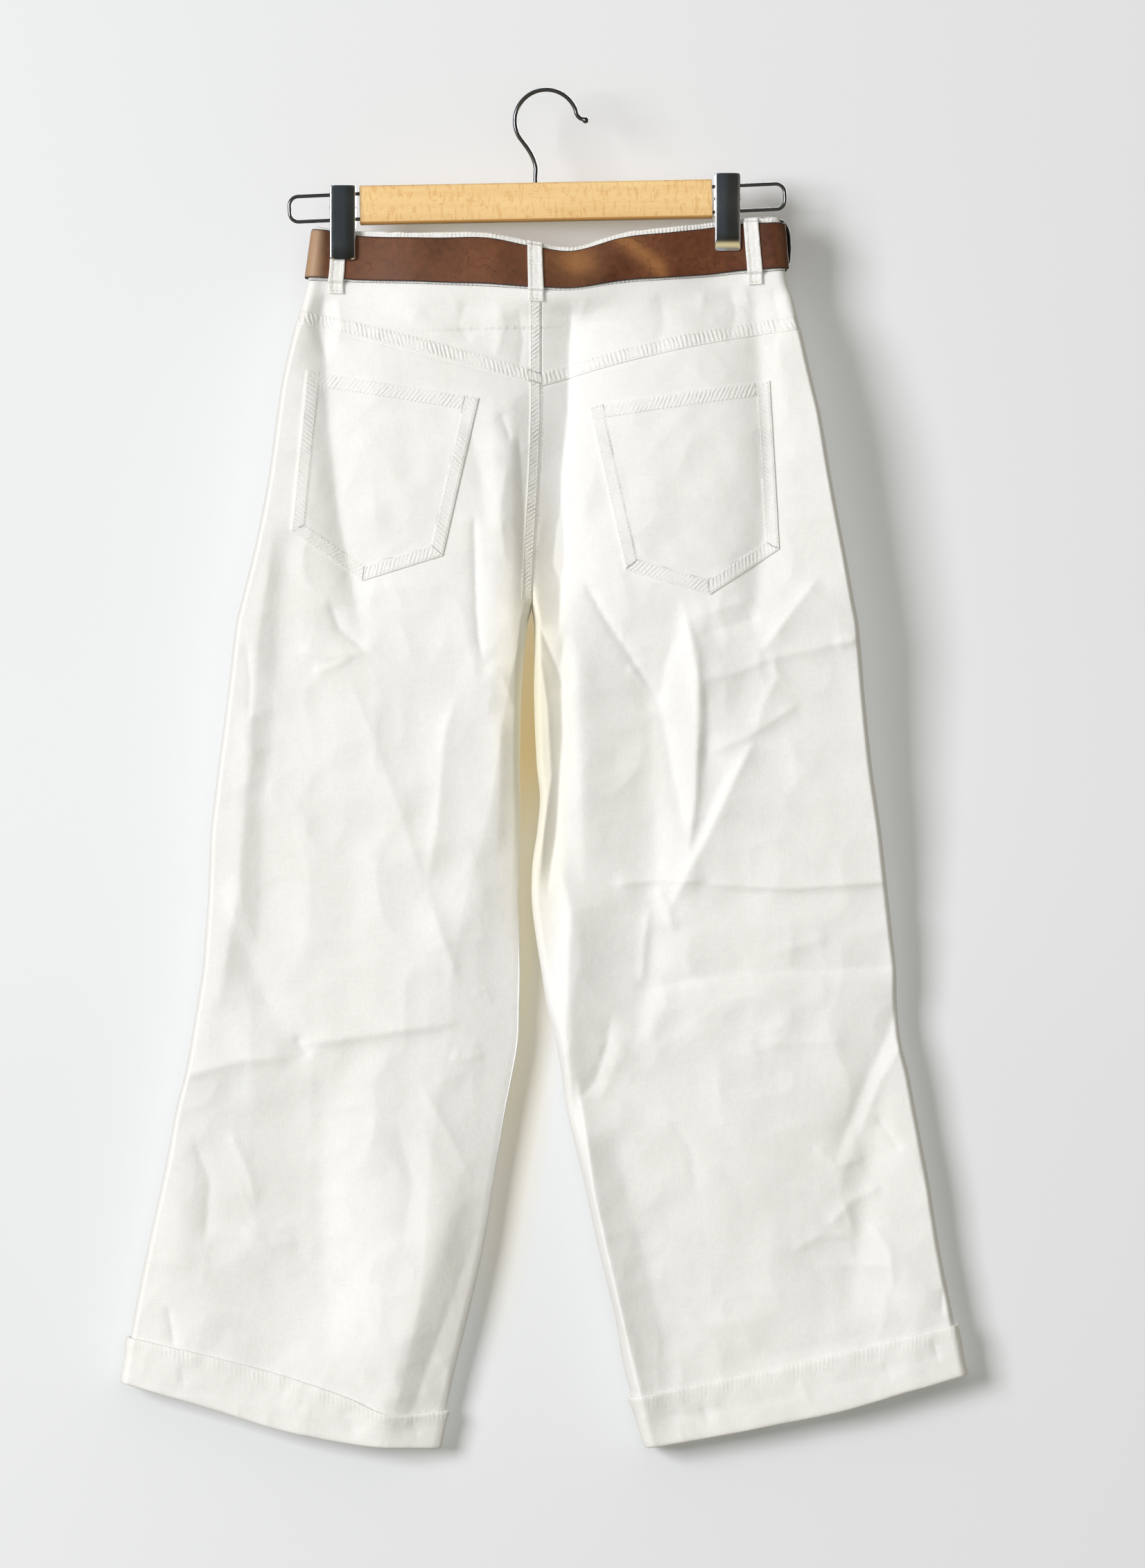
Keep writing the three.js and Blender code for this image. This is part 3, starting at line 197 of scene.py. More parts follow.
wall.visible_transmission = False
wall.visible_shadow = False

# The room: plain and slightly warm where it lights the cloth, and with dark, pale and gilt parts where it
# is mirrored in the metal. Its backdrop colour shows only past the wall's edges.
room = bpy.data.worlds.new("room")
bpy.context.scene.world = room
room.use_nodes = True
tree = room.node_tree
ray = node(tree, "LightPath")
heading = node(tree, "SeparateXYZ", Vector=node(tree, "TexCoord").outputs["Generated"])
across_room, into_room, up_room = (heading.outputs[axis] for axis in "XYZ")
dark_side = graded(tree, spread(tree, into_room, -1.0, 1.0), (0.015, (0.036, 0.039, 0.038, 1)),
                   (0.06, (0.5, 0.51, 0.53, 1)), (0.28, (0.3, 0.31, 0.32, 1)),
                   (0.38, (0.05, 0.052, 0.055, 1)), (0.7, (0.10, 0.104, 0.108, 1)))
above = mixed(tree, spread(tree, up_room, 0.01, 0.10), dark_side, (0.022, 0.031, 0.039, 1), "ADD")
right = mixed(tree, spread(tree, across_room, -0.01, 0.025), above, (0.68, 0.58, 0.46, 1), "MULTIPLY")
band = maths(tree, "MULTIPLY", spread(tree, up_room, -0.14, -0.24), spread(tree, up_room, -0.40, -0.34))
below = mixed(tree, band, right, (0.95, 0.78, 0.42, 1))
shiny = mixed(tree, ray.outputs["Is Glossy Ray"], (0.332, 0.321, 0.272, 1), below)
seen = mixed(tree, ray.outputs["Is Camera Ray"], shiny, (0.78, 0.785, 0.78, 1))
tree.links.new(seen, tree.nodes["Background"].inputs["Color"])
tree.nodes["Background"].inputs["Strength"].default_value = 1.0


def soft_light(name, at, aim, size, power, colour):
    """A square area light at a place, turned to its aim."""
    lamp = bpy.data.lights.new(name, "AREA")
    lamp.size = size
    lamp.energy = power
    lamp.color = colour
    holder = bpy.data.objects.new(name, lamp)
    bpy.context.scene.collection.objects.link(holder)
    holder.location = at
    way = np.array(aim, float) - np.array(at, float)
    holder.rotation_euler = (math.atan2(math.hypot(way[0], way[1]), -way[2]), 0,
                             math.atan2(way[1], way[0]) - math.pi / 2)
    return holder


MIDDLE = (0, 0, -0.5)
soft_light("key", (-4.5, -5.0, 0.75), MIDDLE, 2.7, 392, (1.0, 0.991, 0.995))
soft_light("fill", (0.4, -5.6, -0.2), MIDDLE, 2.5, 38, (1.0, 0.99, 0.94)).visible_glossy = False
soft_light("front_key", (0.6, 3.2, 0.6), MIDDLE, 1.5, 70, (1.0, 0.995, 0.985))

camera = bpy.data.objects.new("camera", bpy.data.cameras.new("camera"))
bpy.context.scene.collection.objects.link(camera)
camera.location = (0.0205, -5.21, -0.5405)
camera.rotation_euler = (math.pi / 2, 0, 0)
camera.data.sensor_width = 36
camera.data.lens = 153.2
bpy.context.scene.camera = camera
bpy.context.scene.view_settings.view_transform = "Standard"

# ------------------------------------------------------------------ back leg panels
# Two panels of off-white cotton denim, one ply, cut wide and straight and joined at the centre back above
# the crotch, where the seam is pressed to the left and topstitched in thick cotton, 3.1 mm to a stitch.
# They hang nearly flat, with crisp folds from packing across the thighs and knees and soft ones below.
GAP = 0.3
DENIM = 1.4
SIDE_ROUND = 5
INSEAM_ROUND = 6
WAIST_ROUND = 9
WAIST_BLEND = 60
FOLD_START = 20
WAIST_LEFT = -186
WAIST_RIGHT = 187
CENTRE = -4
CROTCH = -402
CROTCH_CURVE = 34
YOKE_CENTRE = -230.6
FELL = 9.5
FELL_RISE = 0.6
TUCK = 2.5
SEAT_FADE = 25
CUFF_ROWS = 14
LATTICE = 64


def table(names, *rows):
    """Measured rows as one array for each named column."""
    return dict(zip(names.split(), np.array(rows, float).T))


SECTIONS = table(
    "z leftOuter leftInner rightInner rightOuter back front",
    (-98, -178.5, -4.0, -4.0, 182.3, 16, 12),
    (-147, -185.7, -3.8, -3.8, 187.8, 20, 14),
    (-162, -189.5, -3.8, -3.8, 192.6, 20, 15),
    (-186, -196.5, -3.8, -3.8, 198.6, 21, 16),
    (-226, -205.7, -3.8, -3.8, 207.7, 23, 17),
    (-254, -210.1, -3.8, -3.8, 214.4, 24, 18),
    (-308, -217.6, -5.9, -5.9, 223.6, 23, 18),
    (-362, -228.4, -9.2, -9.2, 233.8, 20, 16),
    (-402, -238.5, -11.3, -11.3, 241.1, 18, 15),
    (-418, -242.2, -14.8, -9.3, 244.1, 17, 15),
    (-470, -248.4, -19.4, -9.6, 248.4, 16, 14),
    (-524, -255.4, -20.5, -7.5, 253.8, 15, 14),
    (-551, -258.7, -20.3, -4.9, 257.6, 15, 14),
    (-578, -261.9, -20.0, -7.0, 261.4, 14, 13),
    (-605, -263.0, -20.8, -10.8, 264.4, 14, 13),
    (-632, -264.1, -21.6, -11.3, 267.3, 14, 13),
    (-659, -266.2, -20.9, -8.1, 270.3, 14, 13),
    (-686, -268.4, -20.2, -3.8, 273.2, 14, 13),
    (-713, -272.6, -20.9, 0.5, 273.8, 15, 13),
    (-740, -277.0, -21.6, 7.0, 276.5, 15, 13),
    (-767, -282.0, -26.0, 11.9, 283.0, 15, 13),
    (-791, -288.3, -30.8, 15.1, 287.5, 14, 13),
    (-821, -294.0, -36.0, 22.1, 293.2, 14, 13),
    (-848, -299.2, -40.5, 28.6, 298.4, 14, 13),
    (-902, -311.0, -49.1, 40.5, 306.9, 14, 13),
    (-956, -321.6, -61.0, 53.5, 317.5, 14, 12),
    (-1000, -328.6, -72.0, 61.6, 326.0, 13, 12),
    (-1057, -340.0, -84.5, 79.0, 336.0, 13, 12),
)
WAIST = {
    "back": table(
        "x top low topDepth lowDepth",
        (-186, -105.5, -147.5, 8, 9),
        (-172, -107.4, -148.0, 4.6, 4.6),
        (-147, -109.3, -149.0, 4.6, 4.6),
        (-100, -110.6, -150.8, 9, 15),
        (-48, -110.7, -153.0, 8, 19),
        (-10, -117.6, -155.4, 5, 22),
        (20, -121.4, -156.2, 5, 21),
        (60, -110.7, -150.2, 8, 16),
        (100, -106.0, -147.0, 9, 11),
        (130, -102.6, -144.6, 4.6, 4.6),
        (154, -99.8, -142.0, 4.6, 4.6),
        (187, -98.2, -139.8, 8, 9),
    ),
    "front": table(
        "x top low topDepth lowDepth",
        (-186, -105.5, -147.5, 8, 9),
        (-172, -107.4, -148.0, 4.6, 4.6),
        (-147, -109.7, -150.0, 4.6, 4.6),
        (-80, -118.0, -158.5, 9, 12),
        (-4, -126.0, -167.0, 10, 13),
        (70, -115.0, -156.0, 9, 12),
        (130, -103.0, -145.2, 4.6, 4.6),
        (154, -99.8, -142.0, 4.6, 4.6),
        (187, -98.2, -139.8, 8, 9),
    ),
}
LEGS = {
    "left": dict(side=-1, turn=WAIST_LEFT, yoke=-181.4, bow=2, cuff=(-972, -1030.3),
                 hem=(-1004.4, -1056.8)),
    "right": dict(side=1, turn=WAIST_RIGHT, yoke=-186.3, bow=5, cuff=(-962.3, -1019),
                  hem=(-998.5, -1055.2)),
}
SAGS = {
    "left": table("share cuff hem", (0, 0, 0), (0.27, 0, -5), (0.5, -2, -10), (0.7, -7, -10),
                  (0.82, -12, -8), (1, 0, 0)),
    "right": table("share cuff hem", (0, 0, 0), (0.16, -1, -2), (0.4, -2.4, -5.4), (0.62, -2.4, -4),
                   (0.82, -1.2, -2.2), (1, 0, 0)),
}
# How far in from the left inseam the cloth has fallen back, and how much of its roundness is left there.
SLACK = table("z reach least", (-400, 0.5, 1), (-480, 12, 0.7), (-560, 24, 0.45), (-640, 44, 0.15),
              (-700, 54, 0.05), (-850, 50, 0.1), (-950, 40, 0.2), (-1060, 40, 0.2))

# Folds, each a line of (x, z) places written downwards or to the right, how far its crest stands out (less
# than nothing for a trough), and how fast it falls away on the left or lower side and on the other side.
BACK_FOLDS = [
    # left seat and outer thigh
    ([(-210, -330), (-226, -440), (-233, -540), (-240, -620), (-258, -730)], 4.4, 16, 13),
    ([(-196, -330), (-206, -400), (-211, -480), (-220, -560), (-222, -650), (-236, -710)], -3.6, 14, 30),
    ([(-171, -130), (-172, -190), (-168, -262), (-160, -334), (-140, -435)], -9.0, 10, 34),
    ([(-128, -245), (-134, -300), (-140, -365)], 2.2, 26, 30),
    ([(-170, -395), (-161, -420), (-137, -439)], -2.6, 4, 7),
    ([(-196, -436), (-172, -441), (-138, -438)], 1.6, 3, 6),
    ([(-184, -455), (-166, -449), (-148, -440)], 1.7, 3, 5),
    ([(-234, -427), (-230, -460), (-232, -492)], -1.4, 5, 5),
    ([(-154, -456), (-134, -508), (-112, -567), (-95, -622)], 2.2, 16, 8),
    ([(-68, -467), (-79, -502), (-84, -567), (-93, -622)], 3.4, 6, 18),
    ([(-93, -624), (-80, -664), (-66, -703)], 3.8, 24, 7),
    ([(-306, -772), (-281, -767), (-236, -755), (-190, -752)], 3.8, 6, 12),
    ([(-196, -744), (-128, -734), (-62, -725)], 4.2, 5, 18),
    ([(-195, -734), (-191, -745), (-183, -755)], -2.0, 4, 5),
    ([(-50, -600), (-52, -650), (-58, -720)], 3.0, 20, 16),
    ([(-36, -480), (-36, -535), (-38, -600)], 2.4, 12, 9),
    ([(-56, -328), (-55, -372), (-54, -405), (-52, -429), (-49, -447)], -3.4, 4, 3.2),
    ([(-49, -447), (-34, -457), (-25, -481)], 1.9, 6, 6),
    ([(-42, -226), (-39, -292), (-39, -345), (-43, -420)], 2.0, 16, 12),
    ([(-36, -250), (-27, -275)], -1.6, 4, 4),
    ([(-76, -750), (-66, -755), (-46, -751)], 1.6, 4, 4),
    ([(-58, -705), (-48, -701), (-41, -713)], 1.5, 4, 4),
    ([(-135, -735), (-138, -830), (-140, -915), (-144, -1050)], 5.0, 34, 62),
    ([(-250, -590), (-256, -680), (-272, -800), (-286, -900), (-302, -1050)], 5.5, 24, 46),
    ([(-176, -745), (-178, -860), (-172, -1010)], -10.0, 58, 24),
    ([(-99, -772), (-75, -815), (-56, -853)], 1.3, 6, 6),
    ([(-62, -835), (-82, -902), (-102, -956), (-121, -1004), (-138, -1062)], 7.0, 26, 22),
    ([(-53, -885), (-72, -940), (-91, -990), (-107, -1040)], -2.4, 8, 10),
    ([(-85, -983), (-75, -999), (-77, -1021)], 2.2, 6, 5),
    ([(-295, -946), (-292, -961), (-289, -980)], -1.8, 3.5, 3.5),
    ([(-262, -590), (-250, -640), (-226, -690), (-206, -742)], -4.0, 26, 16),
    ([(-275, -815), (-262, -850), (-266, -900)], -1.8, 6, 7),
    ([(-248, -808), (-232, -842), (-226, -870)], 1.6, 5, 7),
    ([(-240, -885), (-218, -900), (-190, -896)], 1.3, 5, 7),
    ([(-118, -800), (-104, -850), (-112, -905)], -1.3, 8, 8),
    ([(-262, -965), (-225, -968), (-190, -985)], -1.2, 9, 10),
    # left yoke, under the belt
    ([(-172, -156), (-178, -184), (-170, -214)], -2.2, 6, 8),
    ([(-163, -158), (-160, -186), (-166, -205)], 1.6, 5, 6),
    ([(-60, -160), (-68, -182), (-58, -200)], -1.6, 7, 8),
    ([(-95, -166), (-108, -184)], 1.3, 7, 9),
    ([(-37, -163), (-33, -185), (-40, -210)], 1.7, 6, 8),
    ([(-22, -168), (-18, -195), (-22, -222)], -1.6, 6, 5),
    # centre back
    ([(12, -130), (19, -184), (17, -214), (17, -250), (10, -300), (9, -350), (7, -430)], -16.0, 34, 30),
    ([(-26, -222), (-28, -262), (-27, -320), (-27, -372), (-27, -440), (-31, -480)], 9.0, 38, 14),
    ([(20, -160), (18, -208), (17, -250), (12, -300), (12, -350), (11, -400), (9, -430)], -5.0, 10, 4),
    ([(-22, -262), (-18, -320), (-17, -372), (-14, -420)], -2.6, 5, 6),
    ([(-62, -255), (-50, -300), (-46, -345)], -2.4, 9, 14),
    ([(-30, -288), (-36, -330), (-31, -372)], 1.8, 7, 6),
    ([(14, -158), (30, -163), (26, -180)], 2.4, 6, 8),
    ([(-9, -410), (1, -432), (9, -451), (16, -475)], -3.4, 4, 5),
    ([(14, -420), (12, -450), (13, -502), (10, -545), (8, -578), (0, -632)], -6.5, 8, 5),
    ([(-5, -437), (1, -481), (4, -535), (-2, -578), (-5, -621)], 3.0, 5, 4),
    # right thigh
    ([(28, -380), (46, -412), (66, -442), (90, -482)], -3.2, 5, 5),
    ([(62, -446), (74, -460), (86, -474)], 1.8, 3, 5),
    ([(18, -390), (26, -450), (28, -530), (32, -635)], 6.5, 12, 36),
    ([(78, -420), (80, -520), (84, -600), (78, -690), (62, -760)], -8.0, 44, 14),
    ([(8, -590), (20, -640), (18, -690), (16, -730), (24, -800)], 13.0, 9, 38),
    ([(24, -765), (38, -860), (58, -950), (84, -1060)], 11.0, 5, 22),
    ([(106, -415), (92, -448), (89, -481), (99, -535), (110, -589)], -3.2, 9, 6),
    ([(107, -405), (116, -454), (118, -502), (116, -551), (110, -600)], 5.4, 13, 4),
    ([(104, -390), (118, -440), (124, -510)], 7.5, 5, 36),
    ([(160, -130), (166, -200), (171, -260), (173, -320), (160, -430)], -10.0, 17, 24),
    ([(264, -770), (246, -860), (234, -970)], -7.5, 28, 20),
    ([(124, -459), (126, -502), (124, -535)], -2.0, 4, 13),
    ([(164, -502), (146, -537), (126, -580), (112, -606), (94, -643)], 4.8, 5, 11),
    ([(141, -529), (124, -570), (113, -597)], -1.6, 6, 5),
    ([(114, -460), (144, -455), (171, -444), (195, -438), (241, -427), (266, -420)], 2.7, 6, 11),
    ([(125, -517), (158, -503), (187, -484), (201, -475)], 2.4, 5, 9),
    ([(214, -377), (195, -401), (167, -438)], 3.2, 4, 10),
    ([(175, -442), (180, -457), (168, -481), (163, -502)], 1.6, 5, 6),
    ([(222, -433), (236, -430), (245, -425)], 1.8, 5, 7),
    ([(108, -413), (136, -404), (166, -395)], 2.1, 5, 11),
    ([(118, -424), (145, -417), (170, -408)], -2.4, 7, 8),
    # right knee
    ([(48, -619), (87, -615), (128, -616)], 3.4, 4, 6),
    ([(116, -617), (158, -620), (195, -621), (267, -616), (292, -614)], 3.8, 3.5, 11),
    ([(85, -616), (94, -636), (100, -659)], 2.6, 8, 5),
    ([(82, -632), (77, -659), (74, -697)], 2.1, 4, 6),
    ([(66, -703), (104, -694), (136, -688), (222, -685), (272, -681), (296, -680)], -3.2, 5, 14),
    ([(163, -743), (195, -742), (239, -740)], 1.1, 5, 6),
    ([(171, -672), (195, -667), (222, -659)], 1.1, 5, 5),
    ([(170, -616), (172, -665), (168, -735)], 3.2, 22, 34),
    ([(52, -716), (46, -748), (38, -772), (22, -790)], -3.0, 14, 5),
    ([(60, -735), (52, -765), (40, -790)], 1.0, 5, 6),
    # right shin
    ([(282, -684), (267, -734), (252, -766), (241, -794), (225, -834)], -4.4, 12, 12),
    ([(284, -732), (260, -772), (244, -815)], 1.6, 4, 6),
    ([(256, -798), (266, -812), (277, -829)], -1.7, 4, 4),
    ([(218, -887), (236, -867), (263, -852)], 1.9, 6, 5),
    ([(52, -800), (64, -860), (82, -930), (100, -1010)], -2.6, 12, 24),
    ([(131, -991), (174, -987), (228, -975), (276, -961)], -2.1, 13, 15),
    ([(309, -931), (308, -956)], -2.0, 5, 5),
    ([(206, -820), (226, -838), (252, -830)], 1.5, 4, 6),
    ([(190, -905), (214, -892), (240, -893)], 1.5, 4, 6),
    ([(252, -880), (268, -905), (270, -935)], 1.5, 5, 6),
    ([(96, -800), (112, -824), (118, -862)], -1.2, 6, 7),
    ([(131, -751), (136, -832), (141, -913)], 3.0, 40, 60),
    ([(196, -880), (214, -930), (222, -975)], -1.5, 16, 22),
    # right yoke, under the belt
    ([(87, -152), (92, -180), (85, -210)], -1.5, 7, 9),
    ([(125, -150), (120, -175)], 1.5, 7, 8),
    ([(141, -148), (148, -172), (142, -200)], -1.7, 6, 7),
    ([(152, -146), (160, -172)], 1.3, 5, 7),
    ([(176, -150), (181, -176), (176, -206)], -1.6, 6, 8),
]
FRONT_FOLDS = [
    ([(-40, -215), (-84, -262), (-140, -318)], -3.2, 9, 14),
    ([(-28, -250), (-60, -296), (-96, -352)], 2.6, 10, 12),
    ([(-8, -345), (-32, -372), (-78, -392)], -2.6, 6, 9),
    ([(-10, -380), (-38, -412), (-92, -440)], 2.4, 7, 9),
    ([(-196, -300), (-206, -360), (-214, -430)], -2.4, 9, 14),
    ([(-128, -430), (-144, -520), (-150, -630)], 3.4, 18, 22),
    ([(-66, -455), (-72, -540), (-84, -620)], -2.8, 11, 14),
    ([(-262, -742), (-190, -754), (-120, -748), (-40, -764)], 3.2, 7, 15),
    ([(-214, -716), (-168, -724), (-120, -716)], -1.8, 6, 7),
    ([(-100, -640), (-84, -690), (-92, -744)], 2.4, 8, 12),
    ([(-150, -800), (-174, -880), (-196, -985)], -3.6, 16, 20),
    ([(-240, -820), (-262, -900), (-282, -990)], 3.0, 18, 20),
    ([(-80, -860), (-104, -930), (-128, -1015)], 3.6, 16, 9),
    ([(34, -215), (80, -256), (142, -306)], -3.0, 9, 13),
    ([(20, -256), (54, -300), (102, -356)], 2.8, 9, 12),
    ([(4, -350), (30, -376), (86, -392)], -2.6, 7, 8),
    ([(196, -290), (208, -356), (214, -425)], -2.6, 10, 12),
    ([(96, -420), (118, -510), (128, -620)], 3.6, 20, 18),
    ([(60, -440), (50, -520), (40, -600)], -2.6, 10, 15),
    ([(40, -728), (110, -716), (180, -712), (268, -700)], 3.0, 8, 13),
    ([(96, -668), (150, -660), (210, -664)], -1.8, 6, 8),
    ([(120, -618), (104, -664), (96, -716)], 2.3, 8, 10),
    ([(148, -780), (180, -870), (212, -975)], -3.4, 16, 20),
    ([(250, -770), (262, -860), (280, -965)], 2.8, 16, 18),
    ([(70, -850), (86, -930), (112, -1010)], 3.2, 15, 12),
    ([(-70, -176), (-84, -206)], -1.6, 6, 8),
    ([(-120, -170), (-128, -204)], 1.5, 6, 7),
    ([(64, -174), (76, -206)], 1.6, 6, 8),
    ([(128, -162), (134, -196)], -1.7, 6, 7),
]


def smooth(t):
    """Nothing at 0 and below, one at 1 and above, and an even S between."""
    u = np.clip(t, 0, 1)
    return u * u * (3 - 2 * u)


def mix(a, b, t):
    """The value a share t of the way from a to b."""
    return a + (b - a) * t


def read(rows, key, column, at):
    """A column read at any place: a cubic through its rows, each with the slope between its neighbours."""
    order = np.argsort(rows[key])
    k, v = rows[key][order], rows[column][order]
    low, high = np.r_[0, np.arange(len(k) - 1)], np.r_[np.arange(1, len(k)), len(k) - 1]
    slope = (v[high] - v[low]) / (k[high] - k[low])
    at = np.clip(at, k[0], k[-1])
    i = np.clip(np.searchsorted(k, at) - 1, 0, len(k) - 2)
    span = k[i + 1] - k[i]
    t = (at - k[i]) / span
    bend = t * (1 - t) * ((1 - t) * slope[i] - t * slope[i + 1])
    return mix(v[i], v[i + 1], t * t * (3 - 2 * t)) + span * bend


def roundness(distance, reach):
    """How far a rounded fold stands out at a distance in from its edge: a quarter ellipse, from 0 to 1."""
    t = 1 - np.clip(distance / reach, 0, 1)
    return np.sqrt(1 - t * t)


def unevenness(x, z, size, seed):
    """Soft unevenness from -1 to 1: seeded heights on a square lattice, joined smoothly."""
    heights = np.random.default_rng(seed).uniform(-1, 1, (LATTICE, LATTICE))
    i, j = np.floor(x / size).astype(int), np.floor(z / size).astype(int)
    a, b = smooth(x / size - i), smooth(z / size - j)
    left, right, low, high = (k % LATTICE for k in (i, i + 1, j, j + 1))
    lower = mix(heights[left, low], heights[right, low], a)
    upper = mix(heights[left, high], heights[right, high], a)
    return mix(lower, upper, b)


def fold_height(folds, x, z):
    """The sum of the folds: each falls away with distance from its line as an exponential with a softened
    tip, quicker on one side than on the other. It gets lower and narrower towards both ends of its line."""
    height = np.zeros(np.shape(x))
    for line, rise, near, far in folds:
        corners = np.array(line, float)
        reach = 6.5 * max(near, far)
        low, high = corners.min(0) - reach, corners.max(0) + reach
        inside = (x > low[0]) & (x < high[0]) & (z > low[1]) & (z < high[1])
        if not inside.any():
            continue
        px, pz = x[inside], z[inside]
        lengths = np.hypot(*np.diff(corners, axis=0).T)
        starts = np.r_[0, np.cumsum(lengths)]
        best = np.full(px.shape, 1e9)
        share, hand = np.zeros(px.shape), np.ones(px.shape)
        for a, b, length, start in zip(corners[:-1], corners[1:], lengths, starts):
            way = (b - a) / length
            along = np.clip((px - a[0]) * way[0] + (pz - a[1]) * way[1], 0, length)
            dx, dz = px - a[0] - along * way[0], pz - a[1] - along * way[1]
            away = np.hypot(dx, dz)
            nearer = away < best
            best = np.where(nearer, away, best)
            share = np.where(nearer, (start + along) / starts[-1], share)
            hand = np.where(nearer, way[0] * dz - way[1] * dx, hand)
        to_end = np.minimum(share, 1 - share) * starts[-1]
        fade = smooth(to_end / min(0.12 * starts[-1] + 0.9 * max(near, far), 0.5 * starts[-1]))
        width = np.where(hand > 0, far, near) * mix(0.35, 1, fade)
        tip = 0.6 + 0.012 * near * far
        height[inside] += rise * fade * np.exp(-(np.sqrt(best ** 2 + tip ** 2) - tip) / width)
    return height


def outer_edge(leg, z):
    """Place across of a leg's side edge at a height."""
    return read(SECTIONS, "z", leg + "Outer", z)


def inner_edge(leg, z):
    """Place across of a leg's inner edge at a height: the centre seam, and the inseam below the crotch."""
    return read(SECTIONS, "z", leg + "Inner", z)


def waist_low(face, x):
    """Height of the waistband's lower edge at a place across."""
    return read(WAIST[face], "x", "low", x)


def rise_of_cloth(leg, face, x, z, aside=None, inwards=None):
    """How far the outside of the cloth lies behind or in front of the middle: the section's depth, fading
    into the waist's, with the folds and a slight unevenness, rounded down at the side and the inseam.
    aside and inwards are the distances from those two edges, given where the piece ends at them."""
    low = waist_low(face, x)
    aside = np.abs(x - outer_edge(leg, z)) if aside is None else aside
    inwards = np.abs(x - inner_edge(leg, z)) if inwards is None else inwards
    below = smooth((low - z) / WAIST_BLEND)
    depth = mix(read(WAIST[face], "x", "lowDepth", x), read(SECTIONS, "z", face, z), below)
    side = roundness(aside, mix(WAIST_ROUND, SIDE_ROUND, below))
    inseam = roundness(inwards, INSEAM_ROUND)
    if leg == "left":
        fallen = np.clip(1 - inwards / read(SLACK, "z", "reach", z), 0, 1)
        inseam = inseam * mix(1, read(SLACK, "z", "least", z), fallen ** 1.25)
    under = np.clip((CROTCH + CROTCH_CURVE - z) / CROTCH_CURVE, 0, 1)
    whole = np.where(z > CROTCH, np.sqrt(1 - under ** 2), 0)
    folds = fold_height(BACK_FOLDS if face == "back" else FRONT_FOLDS, x, z)
    bent = x + 9 * unevenness(x, z, 37, 7), z + 9 * unevenness(x, z, 41, 8)
    folds += (0.7 * unevenness(x, z, 26, 3) - 2.0 * np.abs(unevenness(*bent, 52, 9))
              - 1.0 * np.abs(unevenness(*bent, 25, 10)))
    folds *= smooth((low - z) / FOLD_START)
    out = (depth + folds) * side * mix(inseam, 1, whole)
    beside_seam = (z > CROTCH) & (np.abs(x - inner_edge(leg, z)) < 1)
    return np.maximum(out, np.where(beside_seam, DENIM + GAP, 0.03))


def yoke_seam(leg, share):
    """Height of the yoke seam at a share of the way from the side to the centre: a line, bowed up."""
    cut = LEGS[leg]
    return mix(cut["yoke"], YOKE_CENTRE, share) + cut["bow"] * 4 * share * (1 - share)


def across(count):
    """Shares across a row, closer together at both edges where the cloth turns."""
    u = np.linspace(0, 1, count)
    return mix(u, (1 - np.cos(math.pi * u)) / 2, 0.8)


def ripple(along, across_band, width, length=4.6, seed=11):
    """A sewn band's puckers: waves along the seam, uneven in size, that fade at both edges of the band."""
    inside = smooth(across_band / 1.5) * smooth((width - across_band) / 1.5)
    wander = 2.2 * unevenness(along, across_band, 13, seed)
    size = 0.55 + 0.45 * unevenness(along, 0 * along, 17, seed + 1)
    return inside * size * np.sin(2 * math.pi * (along + wander) / length), inside


def panel_places(leg, face, columns, rows):
    """Places (x, z) of a panel: slanted rows from its top line to its hem, shares of the way from the side
    to the inseam. Rows down to the cuff lie closer in the upper part; the cuff's sag fades in above it."""
    cut = LEGS[leg]
    back = face == "back"
    top = (cut["yoke"], YOKE_CENTRE) if back else (waist_low(face, cut["turn"]) - 2 * GAP,
                                                   waist_low(face, CENTRE) - 2 * GAP)
    share = across(columns)[None, :]
    down = np.r_[np.linspace(0, 1, rows) ** 1.15, np.ones(CUFF_ROWS)][:, None]
    turned = np.r_[np.zeros(rows), np.linspace(0, 1, CUFF_ROWS + 1)[1:]][:, None]
    outer = mix(mix(top[0], cut["cuff"][0], down), cut["hem"][0], turned)
    inner = mix(mix(top[1], cut["cuff"][1], down), cut["hem"][1], turned)
    lapped = 0.4 if back and leg == "left" else cut["side"] * GAP / 2
    apart = np.where(inner > CROTCH, lapped, 0)
    x = mix(outer_edge(leg, outer), inner_edge(leg, inner) + apart, share)
    line = yoke_seam(leg, share) + TUCK if back else (
        waist_low(face, mix(cut["turn"], CENTRE, share)) - 2 * GAP)
    lifted = (line - mix(top[0], top[1], share)) * (1 - smooth(down * (1 if back else 6)))
    sag = mix(read(SAGS[leg], "share", "cuff", share) * down ** 4,
              read(SAGS[leg], "share", "hem", share), turned)
    return x, mix(outer, inner, share) + lifted + sag


